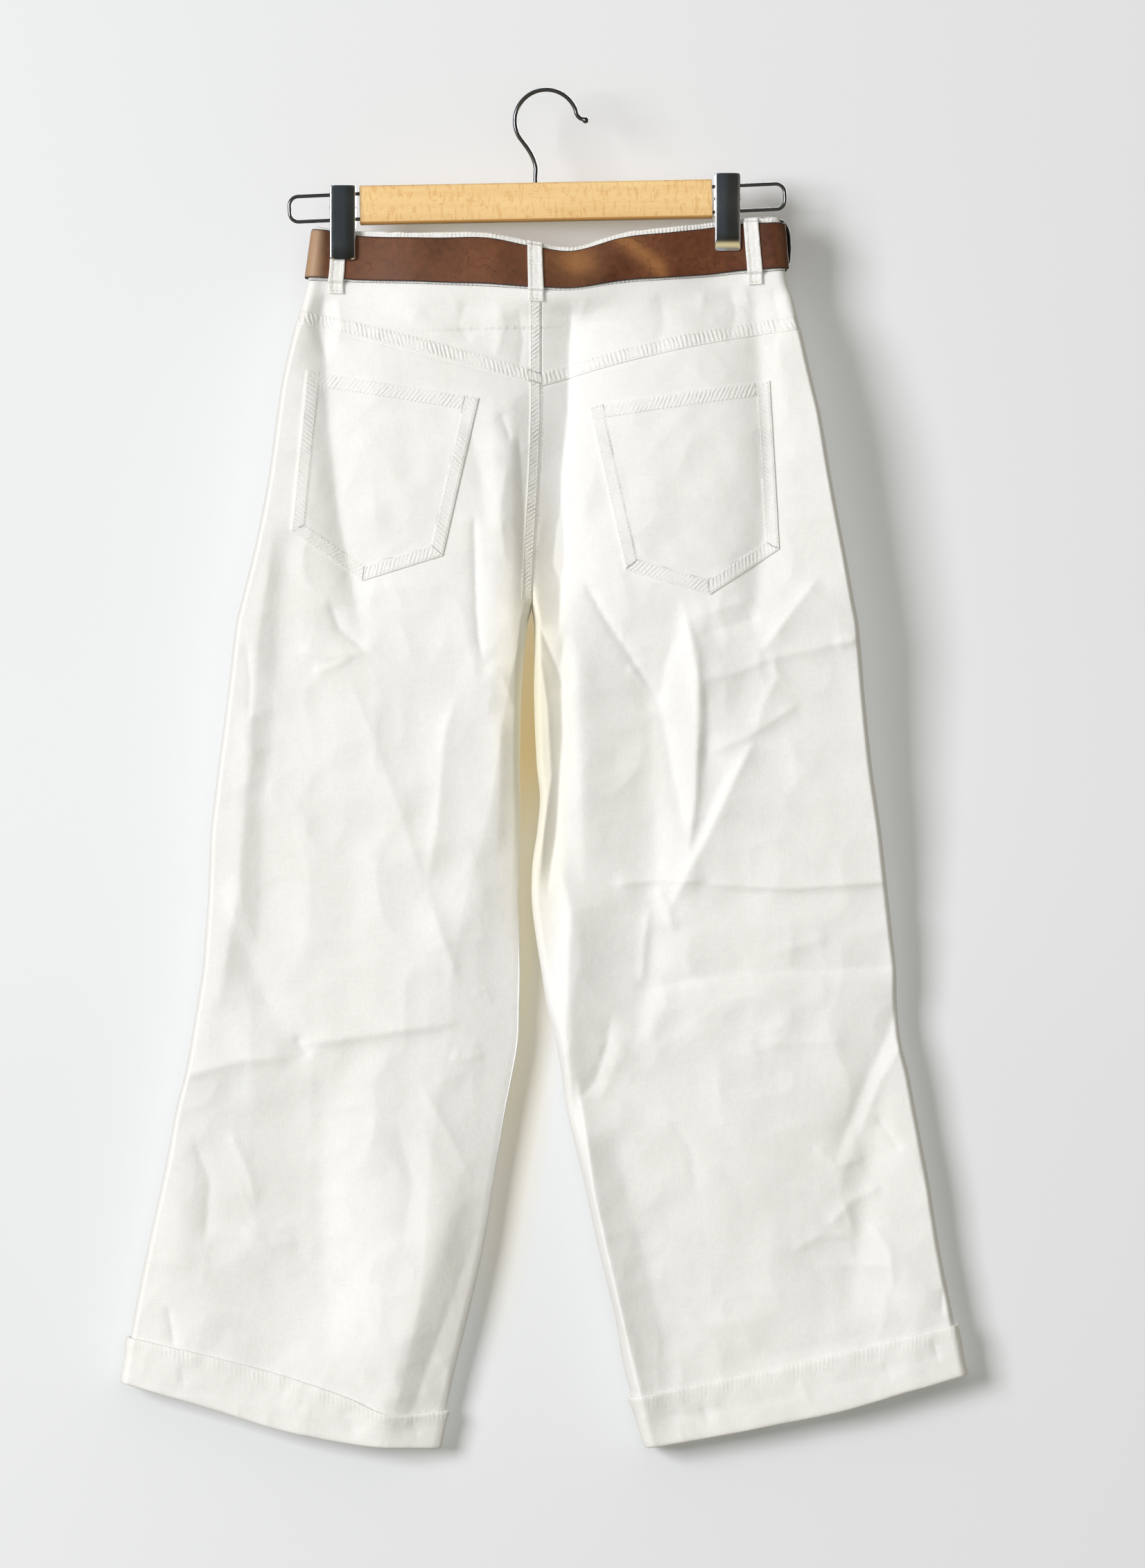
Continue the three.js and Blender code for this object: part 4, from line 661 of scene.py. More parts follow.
def shell(name, outer, thickness, facing):
    """A cloth wall: its outside is the grid given, and its inside lies its thickness within, on every third
    row and column. Faces of six corners close the edges between the two."""
    normal = np.cross(np.gradient(outer, axis=0), np.gradient(outer, axis=1))
    normal /= np.linalg.norm(normal, axis=-1)[..., None]
    turned = (normal @ np.array(facing, float)).sum() < 0
    inner = (outer - (-thickness if turned else thickness) * normal)[::3, ::3]
    index = np.arange(outer[..., 0].size).reshape(outer.shape[:2])
    within = index.size + np.arange(inner[..., 0].size).reshape(inner.shape[:2])
    outside, inside = (np.stack([k[:-1, :-1], k[1:, :-1], k[1:, 1:], k[:-1, 1:]], -1).reshape(-1, 4)
                       for k in (index, within))
    rims = [np.stack([edge[:-1:3], edge[1::3], edge[2::3], edge[3::3], twin[1:], twin[:-1]], -1)
            for edge, twin in ((index[0], within[0]), (index[:, -1], within[:, -1]),
                               (index[-1, ::-1], within[-1, ::-1]), (index[::-1, 0], within[::-1, 0]))]
    faces = [outside, inside[:, ::-1], *rims]
    faces = [face for group in faces for face in (group[:, ::-1] if turned else group).tolist()]
    points = np.concatenate([outer.reshape(-1, 3), inner.reshape(-1, 3)]) * MM
    piece = made_of(name, points, faces)
    piece.data.set_sharp_from_angle(angle=math.radians(62))
    return piece


def keep_seam(piece, along, across_band, strength):
    """Stores the place along a sewn band, the place across it and how sewn it is, for its finish."""
    seam = piece.data.attributes.new("seam", "FLOAT_VECTOR", "POINT")
    values = np.stack(np.broadcast_arrays(along * MM, across_band * MM, strength), -1).astype(np.float32)
    flat = values.reshape(-1, 3)
    if len(flat) < len(piece.data.vertices):
        flat = np.concatenate([flat, values[::3, ::3].reshape(-1, 3)])
    seam.data.foreach_set("vector", flat.reshape(-1))


def scaled(tree, place, scale, turn=0.0):
    """A place turned about Y and multiplied by a scale on each axis, for grain longer one way."""
    return node(tree, "Mapping", Vector=place, Rotation=(0, turn, 0), Scale=scale).outputs[0]


def bumped(tree, *layers):
    """The slope of a surface bumped by layers, each a height, its distance in metres and its strength."""
    slope = {}
    for height, distance, strength in layers:
        bump = node(tree, "Bump", Height=height, Distance=distance, Strength=strength, **slope)
        slope = {"Normal": bump.outputs[0]}
    return bump.outputs[0]


def split(tree, vector):
    """The three parts of a place, a direction or a stored vector."""
    return node(tree, "SeparateXYZ", Vector=vector).outputs


def stored(tree, name):
    """The parts of the vector that a piece stores at its points under that name."""
    return split(tree, node(tree, "Attribute", {"attribute_name": name}).outputs["Vector"])


def denim_finish():
    """Off-white cotton denim: slubby threads down and across, a fine twill, creases from washing, puckers
    where the seam attribute says it is sewn, a slightly deeper tone in the hollows of the weave, and a
    painted warm shade between the legs at the crotch."""
    finish, tree, shader = new_finish(
        "off_white_denim", Roughness=0.88, Specular_IOR_Level=0.25, Sheen_Weight=0.25, Sheen_Roughness=0.6,
        Subsurface_Weight=0.12, Subsurface_Radius=(1.0, 0.8, 0.5), Subsurface_Scale=0.004)
    place = node(tree, "TexCoord").outputs["Object"]
    down = noise(tree, scaled(tree, place, (1900, 600, 130)))
    over = noise(tree, scaled(tree, place, (130, 600, 1900)))
    twill = node(tree, "TexWave", {"bands_direction": "DIAGONAL"}, Vector=place, Scale=420.0,
                 Distortion=1.2, Detail=1.0, Detail_Scale=2.0).outputs["Fac"]
    weave = maths(tree, "MULTIPLY_ADD", twill, 0.35, maths(tree, "ADD", down, over))
    washed = noise(tree, place, 70.0, 4.0, Roughness=0.6)
    along, _, strength = stored(tree, "seam")
    wander = maths(tree, "MULTIPLY_ADD", noise(tree, place, 160.0, 1.0), 0.0022, along)
    puckers = node(tree, "TexWave", Vector=node(tree, "CombineXYZ", X=wander).outputs[0], Scale=92.0)
    uneven = spread(tree, noise(tree, place, 75.0), 0.35, 0.65)
    sewn = maths(tree, "MULTIPLY", maths(tree, "MULTIPLY", puckers.outputs["Fac"], uneven), strength)
    slope = bumped(tree, (weave, 0.0001, 0.4), (washed, 0.0012, 0.5), (sewn, 0.0007, 0.85))
    tree.links.new(slope, shader.inputs["Normal"])
    tone = graded(tree, spread(tree, weave, 0.75, 1.55), (0, (0.805, 0.803, 0.80, 1)),
                  (1, (0.878, 0.876, 0.877, 1)))
    faded = spread(tree, noise(tree, place, 9.0, 3.0), 0.45, 0.75, top=0.5)
    cream = mixed(tree, faded, tone, (0.985, 0.975, 0.945, 1), "MULTIPLY")
    # Painted warm shade between the legs at the crotch: a yellowish darkening where light bounced between
    # the plies would warm the shade.
    between = nearness(tree, place, (-0.012, 0, -0.5), (0.034, 10, 0.22))
    warm = mixed(tree, between, cream, (0.98, 0.93, 0.72, 1), "MULTIPLY")
    tree.links.new(warm, shader.inputs["Base Color"])
    return finish


DENIM_CLOTH = denim_finish()


def sewn_piece(piece, finish, slot, *nodes):
    """Gives a piece its finish, rides it on the one body and lets it stand for its solids."""
    piece.data.materials.append(finish)
    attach(piece, "root")
    if nodes:
        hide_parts(*nodes)
    return piece


def back_panel(leg):
    """A back panel: the cloth's rise at each place, with the felled centre seam raised on the left and the
    upper edge drawn in under the yoke."""
    x, z = panel_places(leg, "back", 181, 452)
    rise = rise_of_cloth(leg, "back", x, z, np.abs(x - x[:, :1]), np.abs(x - x[:, -1:]))
    beside = np.abs(x - inner_edge(leg, z))
    seat = smooth((z - CROTCH) / SEAT_FADE)
    width = FELL if leg == "left" else 2.5
    along = z + 0.7 * beside
    waves, inside = ripple(along, beside, width)
    rise += seat * (inside * FELL_RISE * (leg == "left") + 0.22 * waves)
    share = (x - outer_edge(leg, z)) / (inner_edge(leg, z) - outer_edge(leg, z))
    below_yoke = yoke_seam(leg, np.clip(share, 0, 1)) - z
    rise -= 0.8 * (1 - smooth((below_yoke + 0.6) / 3)) * smooth(np.abs(x - x[:, :1]) / 4)
    if leg == "right":
        rise -= 0.35 * seat * (1 - smooth((x - inner_edge(leg, z)) / 3))
    piece = shell("back_panel_" + leg, np.stack([x, -rise, z], -1), DENIM, (0, -1, 0))
    keep_seam(piece, along, beside, inside * seat)
    return sewn_piece(piece, DENIM_CLOTH, "denim", "back_" + leg)


THREAD_STEP = 3.1
STITCH = 2.3
CENTRE_ROWS = (1.8, 8.2)
THREAD, tree, shader = new_finish("cotton_thread", Roughness=0.7, Specular_IOR_Level=0.35,
                                  Sheen_Weight=0.3)
place = node(tree, "TexCoord").outputs["Object"]
twist = node(tree, "TexWave", {"bands_direction": "DIAGONAL"}, Vector=place, Scale=900.0)
tone = graded(tree, twist.outputs["Fac"], (0, (0.86, 0.85, 0.80, 1)), (1, (0.93, 0.925, 0.90, 1)))
tree.links.new(tone, shader.inputs["Base Color"])


def stitching(name, rows, out=(0, -1, 0)):
    """Stitches along rows of points that lie on the cloth, one in each step of 3.1 mm: a bead 2.3 mm long,
    with four sides, that dips into the cloth at both ends. out is the way the cloth faces, one for all the
    rows or one for each point of a row."""
    middles, ways, outs = [], [], []
    for row in rows:
        run = np.r_[0, np.cumsum(np.linalg.norm(np.diff(row, axis=0), axis=1))]
        at = np.arange(1.6, run[-1] - 0.8, THREAD_STEP)
        place, ahead, behind = (np.stack([np.interp(at + step, run, row[:, k]) for k in range(3)], -1)
                                for step in (0, 0.8, -0.8))
        facing = np.broadcast_to(np.array(out, float), row.shape)
        middles.append(place)
        ways.append(ahead - behind)
        outs.append(np.stack([np.interp(at, run, facing[:, k]) for k in range(3)], -1))
    middle, way, up = (np.concatenate(part) for part in (middles, ways, outs))
    way /= np.linalg.norm(way, axis=1)[:, None]
    side = np.cross(way, up)
    side /= np.linalg.norm(side, axis=1)[:, None]
    up = np.cross(side, way)
    half = STITCH / 2
    bead = np.array([(a, w * s, h + w * t)
                     for a, w, h in ((-half, 0.18, -0.1), (0, 0.24, 0.1), (half, 0.18, -0.1))
                     for s, t in ((1, 0), (0, 1), (-1, 0), (0, -1))])
    points = (middle[:, None] + bead[:, 0, None] * way[:, None] + bead[:, 1, None] * side[:, None]
              + bead[:, 2, None] * up[:, None]) * MM
    faces = [(a + k, a + (k + 1) % 4, a + 4 + (k + 1) % 4, a + 4 + k) for a in (0, 4) for k in range(4)]
    faces = np.array(faces + [(3, 2, 1, 0), (8, 9, 10, 11)])
    all_faces = (faces[None] + len(bead) * np.arange(len(points))[:, None, None]).reshape(-1, 4)
    return sewn_piece(made_of(name, points.reshape(-1, 3), all_faces.tolist()), THREAD, "denim")


def on_cloth(leg, face, x, z, above):
    """Points on a panel at places (x, z), a distance above its cloth."""
    rise = rise_of_cloth(leg, face, x, z) + above
    return np.stack([x, rise if face == "front" else -rise, z], -1)


def centre_rows():
    """Two rows down the centre back on the left, from the waistband to the crotch."""
    z = np.linspace(waist_low("back", CENTRE) - 3, CROTCH + 4, 300)
    return [on_cloth("left", "back", inner_edge("left", z) - side, z, 0.75) for side in CENTRE_ROWS]


back_left, back_right = back_panel("left"), back_panel("right")
centre_thread = stitching("centre_back_stitches", centre_rows())

# ------------------------------------------------------------------ front leg panels
# The same cloth on the wearer's front, one ply, cut from the waistband to the hem with no pockets. The two
# are joined at the centre front above the crotch, and to the back panels down the sides and the inseams.
def front_panel(leg):
    """A front panel: the cloth's rise at each place, with slight puckers along the centre seam."""
    x, z = panel_places(leg, "front", 121, 287)
    rise = rise_of_cloth(leg, "front", x, z, np.abs(x - x[:, :1]), np.abs(x - x[:, -1:]))
    beside = np.abs(x - inner_edge(leg, z))
    along = z + 0.7 * beside
    seat = smooth((z - CROTCH) / SEAT_FADE)
    waves, inside = ripple(along, beside, 4)
    rise += seat * 0.2 * waves
    piece = shell("front_panel_" + leg, np.stack([x, rise, z], -1), DENIM, (0, 1, 0))
    keep_seam(piece, along, beside, inside * seat)
    return sewn_piece(piece, DENIM_CLOTH, "denim", "front_" + leg)


front_left, front_right = front_panel("left"), front_panel("right")

# ------------------------------------------------------------------ yokes
# Two shaped strips across the seat between the waistband and the back panels, one ply. Their lower edge is
# felled over the panels: the band along it is raised, puckered across and topstitched with two rows.
YOKE_BAND = 11
YOKE_ROWS = (1.8, 9.4)


def yoke(leg):
    """A yoke: rows from the waistband's lower edge to the seam, the last 11 mm raised and puckered."""
    cut = LEGS[leg]
    share = across(184)[None, :]
    down = np.linspace(0, 1, 58)[:, None]
    top = waist_low("back", mix(cut["turn"], CENTRE, share)) - GAP
    foot = yoke_seam(leg, share) + GAP / 2
    edge = mix(waist_low("back", cut["turn"]), cut["yoke"], down)
    x = mix(outer_edge(leg, edge), inner_edge(leg, edge) + cut["side"] * GAP / 2, share)
    z = mix(top, foot, down)
    above = z - foot
    waves, inside = ripple(x * 1.02 + 0.25 * above, above, YOKE_BAND, length=4.2, seed=21)
    aside = np.abs(x - x[:, :1])
    rise = rise_of_cloth(leg, "back", x, z, aside) + (
        0.45 * np.maximum(inside, above < 1.5) + 0.24 * waves) * smooth(aside / 4)
    beside = np.abs(x - inner_edge(leg, edge))
    fell_waves, fell = ripple(z + 0.7 * beside, beside, FELL, seed=23)
    fell = fell * (leg == "left") * (1 - inside)
    rise += 0.5 * fell + 0.24 * fell * fell_waves
    groove = 0.7 * (1 - smooth(beside / 1.2)) * (1 - inside) * (leg == "right")
    piece = shell("yoke_cloth_" + leg, np.stack([x, groove - rise, z], -1), DENIM, (0, -1, 0))
    keep_seam(piece, np.where(fell > 0, z + 0.7 * beside, x + 0.25 * above), above,
              np.maximum(inside, fell))
    return sewn_piece(piece, DENIM_CLOTH, "denim", "yoke_" + leg)


def yoke_rows(leg):
    """Two rows along a yoke's felled edge, 1.8 and 9.4 mm above the seam."""
    cut = LEGS[leg]
    share = np.linspace(0.02, 0.985, 240)
    edge = mix(waist_low("back", cut["turn"]), cut["yoke"], 0.95)
    x = mix(outer_edge(leg, edge), inner_edge(leg, edge), share)
    return [on_cloth(leg, "back", x, yoke_seam(leg, share) + up, 0.5) for up in YOKE_ROWS]


yoke_left, yoke_right = yoke("left"), yoke("right")
yoke_thread_left = stitching("yoke_stitches_left", yoke_rows("left"))
yoke_thread_right = stitching("yoke_stitches_right", yoke_rows("right"))

# ------------------------------------------------------------------ patch pockets
# Two five-sided patches sewn on the back panels. Their sides and foot are turned under 11 mm and sewn with
# two rows; their top is hemmed 11 mm and sewn with one. The turnings show as raised, puckered strips.
PATCH = 1.2
TURNING = 11
POCKET_ROWS = (1.9, 9.2)
HEM_ROW = 10.2
POCKETS = {
    "left": [(-186.3, -218.7), (-52.4, -240.3), (-80.5, -362.9), (-143.6, -382.3), (-198.7, -344.0)],
    "right": [(32.9, -246.2), (173.9, -226.3), (181.4, -357.5), (127.4, -393.1), (61.6, -374.2)],
}


def pocket_places(corners, columns, rows):
    """Places of a pocket: straight from its top edge down to the two sides of its pointed foot."""
    p = np.array(corners)
    point = (p[3, 0] - p[4, 0]) / (p[2, 0] - p[4, 0])
    half = round(columns * point)
    share = np.r_[np.linspace(0, point, half), np.linspace(point, 1, columns - half + 1)[1:]][None, :, None]
    down = np.linspace(0, 1, rows)[:, None, None]
    foot = np.where(share < point, mix(p[4], p[3], share / point),
                    mix(p[3], p[2], (share - point) / (1 - point)))
    return mix(mix(p[0], p[1], share), foot, down)


def pocket_edges(corners, at):
    """For each side of a pocket, the distance in from it and the distance along it."""
    p = np.array(corners)
    found = []
    for a, b in zip(p, np.roll(p, -1, axis=0)):
        way = (b - a) / np.hypot(*(b - a))
        off = at - a
        found.append((off[..., 0] * way[1] - off[..., 1] * way[0],
                      off[..., 0] * way[0] + off[..., 1] * way[1]))
    return found


def pocket(leg):
    """A pocket on its panel: 1.3 mm above the cloth, its turnings 0.4 mm higher and puckered."""
    at = pocket_places(POCKETS[leg], 145, 154)
    hem, *sides = pocket_edges(POCKETS[leg], at)
    inwards = np.stack([side[0] for side in sides])
    nearest = inwards.argmin(0)[None]
    inward = np.take_along_axis(inwards, nearest, 0)[0]
    along = np.take_along_axis(np.stack([side[1] for side in sides]), nearest, 0)[0]
    waves, inside = ripple(along + 0.6 * inward, inward, TURNING, seed=31)
    hem_waves, hem_inside = ripple(hem[1] + 0.6 * hem[0], hem[0], TURNING, seed=35)
    x, z = at[..., 0], at[..., 1]
    turned = np.maximum(smooth((TURNING - inward) / 1.2), smooth((TURNING - hem[0]) / 1.2))
    edge = np.minimum(inward, hem[0])
    rise = rise_of_cloth(leg, "back", x, z) + 0.1 + PATCH + 0.4 * turned - 0.45 * (1 - smooth(edge / 1.3))
    rise += 0.15 * np.where(inward < TURNING, waves, hem_waves)
    rise += 0.5 * unevenness(x, z, 15, 37) * smooth((edge - TURNING) / 6)
    piece = shell("pocket_patch_" + leg, np.stack([x, -rise, z], -1), PATCH, (0, -1, 0))
    keep_seam(piece, np.where(inward < TURNING, along + 0.6 * inward, hem[1] + 0.6 * hem[0]), edge,
              0.7 * np.maximum(inside, hem_inside))
    return sewn_piece(piece, DENIM_CLOTH, "denim", "pocket_" + leg)


def pocket_rows(leg):
    """Two rows round a pocket's sides and foot, one across its hem, and a bar at each upper corner."""
    p = np.array(POCKETS[leg])
    lines = [way / np.hypot(*way) for way in np.roll(p, -1, axis=0) - p]
    rows = []
    for inset in POCKET_ROWS:
        path = []
        for k in (1, 2, 3, 4, 5):
            inwards = np.array([(way[1], -way[0]) for way in (lines[k - 1], lines[k % 5])])
            insets = (0 if k == 1 else inset), (0 if k == 5 else inset)
            path.append(p[k % 5] + np.linalg.solve(inwards, insets))
        rows.append(np.concatenate([np.linspace(a, b, 90) for a, b in zip(path[:-1], path[1:])]))
    down = np.array([lines[0][1], -lines[0][0]])
    rows.append(np.linspace(p[0] + down * HEM_ROW, p[1] + down * HEM_ROW, 90))
    for corner, hand in ((p[0], 1), (p[1], -1)):
        start = corner + down * 1.4 + hand * lines[0] * 1.5
        rows += [np.linspace(start + lift * down, start + lift * down + hand * lines[0] * 6.5, 12)
                 for lift in (0, 0.7)]
    return [on_cloth(leg, "back", row[:, 0], row[:, 1], 0.1 + PATCH + 0.42) for row in rows]


pocket_left, pocket_right = pocket("left"), pocket("right")
pocket_thread_left = stitching("pocket_stitches_left", pocket_rows("left"))
pocket_thread_right = stitching("pocket_stitches_right", pocket_rows("right"))

# ------------------------------------------------------------------ fly
# A J-shaped strip of the same cloth, one ply, laid over the opening at the centre front and topstitched on
# the left panel with two rows.
FLY = dict(width=40, length=165, top=-172, edge=-4.6)
FLY_ROWS = (2, 8)


def fly():
    """The fly on its panel: straight down from the waistband, its foot a quarter round."""
    share = np.sin(np.linspace(0, math.pi / 2, 34))[None, :]
    foot = FLY["top"] - FLY["length"] + FLY["width"] * (1 - np.sqrt(1 - share ** 2))
    x = FLY["edge"] - FLY["width"] * share + 0 * foot
    x, z = np.broadcast_arrays(x, mix(FLY["top"], foot, np.linspace(0, 1, 91)[:, None]))
    inward = FLY["width"] + x - FLY["edge"]
    waves, inside = ripple(z + 0.6 * inward, inward, 9, seed=41)
    rise = rise_of_cloth("left", "front", x, z) + GAP + PATCH + 0.2 * waves
    piece = shell("fly_strip", np.stack([x, rise, z], -1), PATCH, (0, 1, 0))
    keep_seam(piece, z + 0.6 * inward, inward, inside)
    return sewn_piece(piece, DENIM_CLOTH, "denim", "fly")


def fly_rows():
    """Two rows down the fly and round its foot, 2 and 8 mm in from its edge."""
    rows = []
    for inset in FLY_ROWS:
        width = FLY["width"] - inset
        turn = np.linspace(0, math.pi / 2, 40)
        curve = np.stack([FLY["edge"] - width * np.cos(turn),
                          FLY["top"] - FLY["length"] + FLY["width"] - width * np.sin(turn)], -1)
        row = np.concatenate([np.linspace((curve[0, 0], FLY["top"] - 2), curve[0], 80), curve[1:-2]])
        rows.append(on_cloth("left", "front", row[:, 0], row[:, 1], GAP + PATCH + 0.05))
    return rows


fly_strip = fly()
fly_thread = stitching("fly_stitches", fly_rows(), (0, 1, 0))

# ------------------------------------------------------------------ turned-up cuffs
# The foot of each leg is folded up outside itself in a cuff of two plies about 35 mm high, pressed flat and
# caught at the seams. Its upper edge is a fold that stands a little off the leg.
CUFF_HEIGHT = 34
CUFF_FOLDS = [
    ([(-322, -1004), (-290, -1012), (-252, -1016)], -0.9, 3, 6),
    ([(-246, -1022), (-190, -1030), (-140, -1037)], 0.8, 4, 5),
    ([(-286, -992), (-281, -1010)], -1.0, 3, 4),
    ([(-161, -1024), (-150, -1044), (-146, -1052)], -1.3, 4, 7),
    ([(-206, -1014), (-188, -1022)], 1.0, 4, 5),
    ([(-106, -1034), (-100, -1050)], -1.0, 3, 5),
    ([(86, -1036), (150, -1026), (232, -1006), (312, -984)], -0.9, 3, 7),
    ([(120, -1022), (128, -1040)], -1.1, 3, 5),
    ([(196, -1004), (206, -1022)], 0.9, 4, 5),
    ([(262, -988), (270, -1006)], -0.9, 3, 5),
    ([(300, -972), (306, -990)], -1.4, 3, 4),
]

# A share of the way down from the cuff's top edge to its foot, and millimetres out from the leg.
CUFF_SECTION = np.array([
    (0.0, 0.9), (0.03, 0.45), (0.2, 0.3), (0.6, 0.3), (0.98, 0.3), (1.015, 0.1), (1.02, -1.5),
    (1.035, -1.9), (1.06, -1.6), (1.085, -0.4), (1.09, 0.9), (1.08, 2.0), (1.055, 2.8), (1.01, 3.15),
    (0.95, 3.2), (0.88, 3.1), (0.8, 3.05), (0.72, 3.0), (0.64, 3.0), (0.56, 3.0), (0.48, 3.0),
    (0.4, 3.05), (0.32, 3.1), (0.24, 3.2), (0.16, 3.35), (0.1, 3.45), (0.05, 3.4), (0.015, 3.1),
    (-0.008, 2.6), (-0.012, 1.8)])


def cuff(leg):
    """A cuff: a closed section of two plies with a rounded fold at its foot, carried round the leg."""
    cut = LEGS[leg]
    share = across(260)
    places = []
    for face in ("back", "front"):
        turned = np.array([-0.01, 0.5, 1.0])[:, None]
        outer = mix(cut["cuff"][0], cut["hem"][0], turned)
        inner = mix(cut["cuff"][1], cut["hem"][1], turned)
        x = mix(outer_edge(leg, outer), inner_edge(leg, inner), share)
        sag = mix(read(SAGS[leg], "share", "cuff", share), read(SAGS[leg], "share", "hem", share), turned)
        z = mix(outer, inner, share) + sag
        rise = rise_of_cloth(leg, face, x, z)
        line = np.stack([x, rise if face == "front" else -rise, z], -1)
        places.append(line if face == "back" else line[:, ::-1])
    legs = np.concatenate([places[0][:, 1:-1], places[1][:, 1:-1]], 1)
    ahead = np.roll(legs[1], -1, axis=0) - np.roll(legs[1], 1, axis=0)
    out = np.stack([ahead[:, 1], -ahead[:, 0], 0 * ahead[:, 0]], -1)
    out /= np.linalg.norm(out, axis=1)[:, None]
    if (out * (legs[1] - legs[1].mean(0))).sum() < 0:
        out = -out
    down, off = CUFF_SECTION[:, 0][None, :], CUFF_SECTION[:, 1][None, :]
    base = [np.where(down < 0.5, mix(legs[0][:, k, None], legs[1][:, k, None], down * 2),
                     mix(legs[1][:, k, None], legs[2][:, k, None], down * 2 - 1)) for k in range(3)]
    grid = np.stack(base, -1)
    behind = grid[..., 1] < 0
    bumps = fold_height(CUFF_FOLDS, grid[..., 0], grid[..., 2]) * behind
    bumps += 0.4 * unevenness(grid[..., 0], grid[..., 2] + 400 * behind, 14, 51)
    off = off + (off > 2) * (bumps + 0.15 * np.sin(grid[..., 0] / 2.6 + 2 * bumps) * (down < 0.3))
    grid = grid + off[..., None] * out[:, None]
    piece = skin("turned_cuff_" + leg, grid, ring=True, loop=True)
    keep_seam(piece, grid[..., 0], CUFF_HEIGHT * down + 0 * off, 0.3 * smooth((0.3 - down) / 0.1) + 0 * off)
    return sewn_piece(piece, DENIM_CLOTH, "denim", "cuff_" + leg)


cuff_left, cuff_right = cuff("left"), cuff("right")

# ------------------------------------------------------------------ waistband
# One straight strip of doubled denim 41 mm high, sewn on flat all round. It laps over its own end at the
# centre front, where it buttons. A row of stitches follows its upper edge and another its lower one.
BAND = 2.4
BAND_HEIGHT = 41
HALF_WAIST = 186


def waist_place(behind, x, share):
    """A place on the outside of the waist, behind or in front: share 0 is its top edge and 1 its lower."""
    top, low, top_depth, low_depth = (
        np.where(behind, read(WAIST["back"], "x", column, x), read(WAIST["front"], "x", column, x))
        for column in ("top", "low", "topDepth", "lowDepth"))
    z = mix(top, low, share)
    part = (x - WAIST_LEFT) / (WAIST_RIGHT - WAIST_LEFT)
    placed = mix(outer_edge("left", z), outer_edge("right", z), part)
    depth = mix(top_depth, low_depth, np.clip(share, 0, 1)) * roundness(
        np.minimum(x - WAIST_LEFT, WAIST_RIGHT - x), WAIST_ROUND)
    return np.stack([placed, np.where(behind, -depth, depth), z], -1)


def round_waist(turn, share, out):
    """Places at a turn round the waist (0 the left side, pi the right side, the back between them), a
    share down it and a distance out from it."""
    def place(at, down):
        return waist_place(np.sin(at) >= 0, mix(WAIST_LEFT, WAIST_RIGHT, (1 - np.cos(at)) / 2), down)
    halfway = 0.5 + 0 * share
    ahead = place(turn + 0.004, halfway) - place(turn - 0.004, halfway)
    outward = np.stack([ahead[..., 1], -ahead[..., 0], 0 * ahead[..., 0]], -1)
    outward /= np.linalg.norm(outward, axis=-1)[..., None]
    return place(turn, share) + out[..., None] * outward, outward


def turn_at(x, front=0):
    """The turn round the waist at a place across: behind, or before (-1) or past (1) it in front."""
    turn = math.acos(1 - 2 * (x - WAIST_LEFT) / (WAIST_RIGHT - WAIST_LEFT))
    return turn if front == 0 else front * 2 * math.pi * (front > 0) - turn


# A share of the way down the waistband, and millimetres out from its outer face.
BAND_SECTION = np.array([
    (0.03, 0.0), (0.008, -0.35), (0.0, -1.0), (0.004, -1.7), (0.03, -2.3), (0.06, -2.4), (0.5, -2.4),
    (0.94, -2.4), (0.985, -2.2), (1.0, -1.2), (0.99, -0.2), (0.96, 0.0), (0.9, 0.0), (0.8, 0.0),
    (0.65, 0.0), (0.5, 0.0), (0.3, 0.0), (0.2, 0.0), (0.14, 0.0), (0.1, 0.0), (0.07, 0.05)])


def waistband():
    """The waistband: its section carried round from the centre front, its far end under its near one."""
    turn = np.linspace(turn_at(-2, -1), turn_at(-42, 1), 860)[:, None]
    share, out = BAND_SECTION[:, 0][None, :], BAND_SECTION[:, 1][None, :]
    under = smooth((turn - turn_at(40, 1)) / (turn_at(-2, 1) - turn_at(40, 1)))
    run = turn * HALF_WAIST
    waves = 0.28 * unevenness(run, 40 * share, 5.5, 61) * smooth((share + 0.02) / 0.05) * (out > -0.5)
    places = round_waist(turn + 0 * share, share + 0 * turn, out + waves - under * (BAND + GAP))[0]
    places[..., 2] += 0.35 * unevenness(run, 0 * turn, 9, 63) * (share < 0.15)
    piece = skin("band_round_waist", places, ring=True, capped=True)
    keep_seam(piece, run + 0 * share, BAND_HEIGHT * share + 0 * turn,
              np.maximum(smooth((0.16 - share) / 0.05), smooth((share - 0.9) / 0.05)) + 0 * turn)
    return sewn_piece(piece, DENIM_CLOTH, "denim", "waistband")


def waistband_rows():
    """The rows along the upper and lower edges, with the way out at each point."""
    turn = np.linspace(turn_at(-6, -1), turn_at(2, 1), 900)
    return [round_waist(turn, share + 0 * turn, 0.12 + 0 * turn) for share in (0.05, 0.955)]


band = waistband()
band_thread = [stitching("waistband_stitches_" + name, [places], outward)
               for name, (places, outward) in zip(("upper", "lower"), waistband_rows())]

# ------------------------------------------------------------------ belt loops
# Five narrow straps of folded denim, three behind and two in front. Each is caught in the waistband's top
# edge, passes over the belt and is sewn down just under the waistband. Two rows of stitches leave both
# edges raised and the middle sunk.
LEATHER = 3.2
# For each loop: whether it is behind, its place across at its top and at its foot, and the plies it passes.
BELT_LOOPS = [
    ("belt_loop_back_left", True, -166.8, -164.0, 1),
    ("belt_loop_back_centre", True, -10.0, -8.4, 1),
    ("belt_loop_back_right", True, 163.0, 162.8, 1),
    ("belt_loop_front_left", False, -92.0, -92.0, 1),
    ("belt_loop_front_right", False, 92.0, 92.0, 2),
]
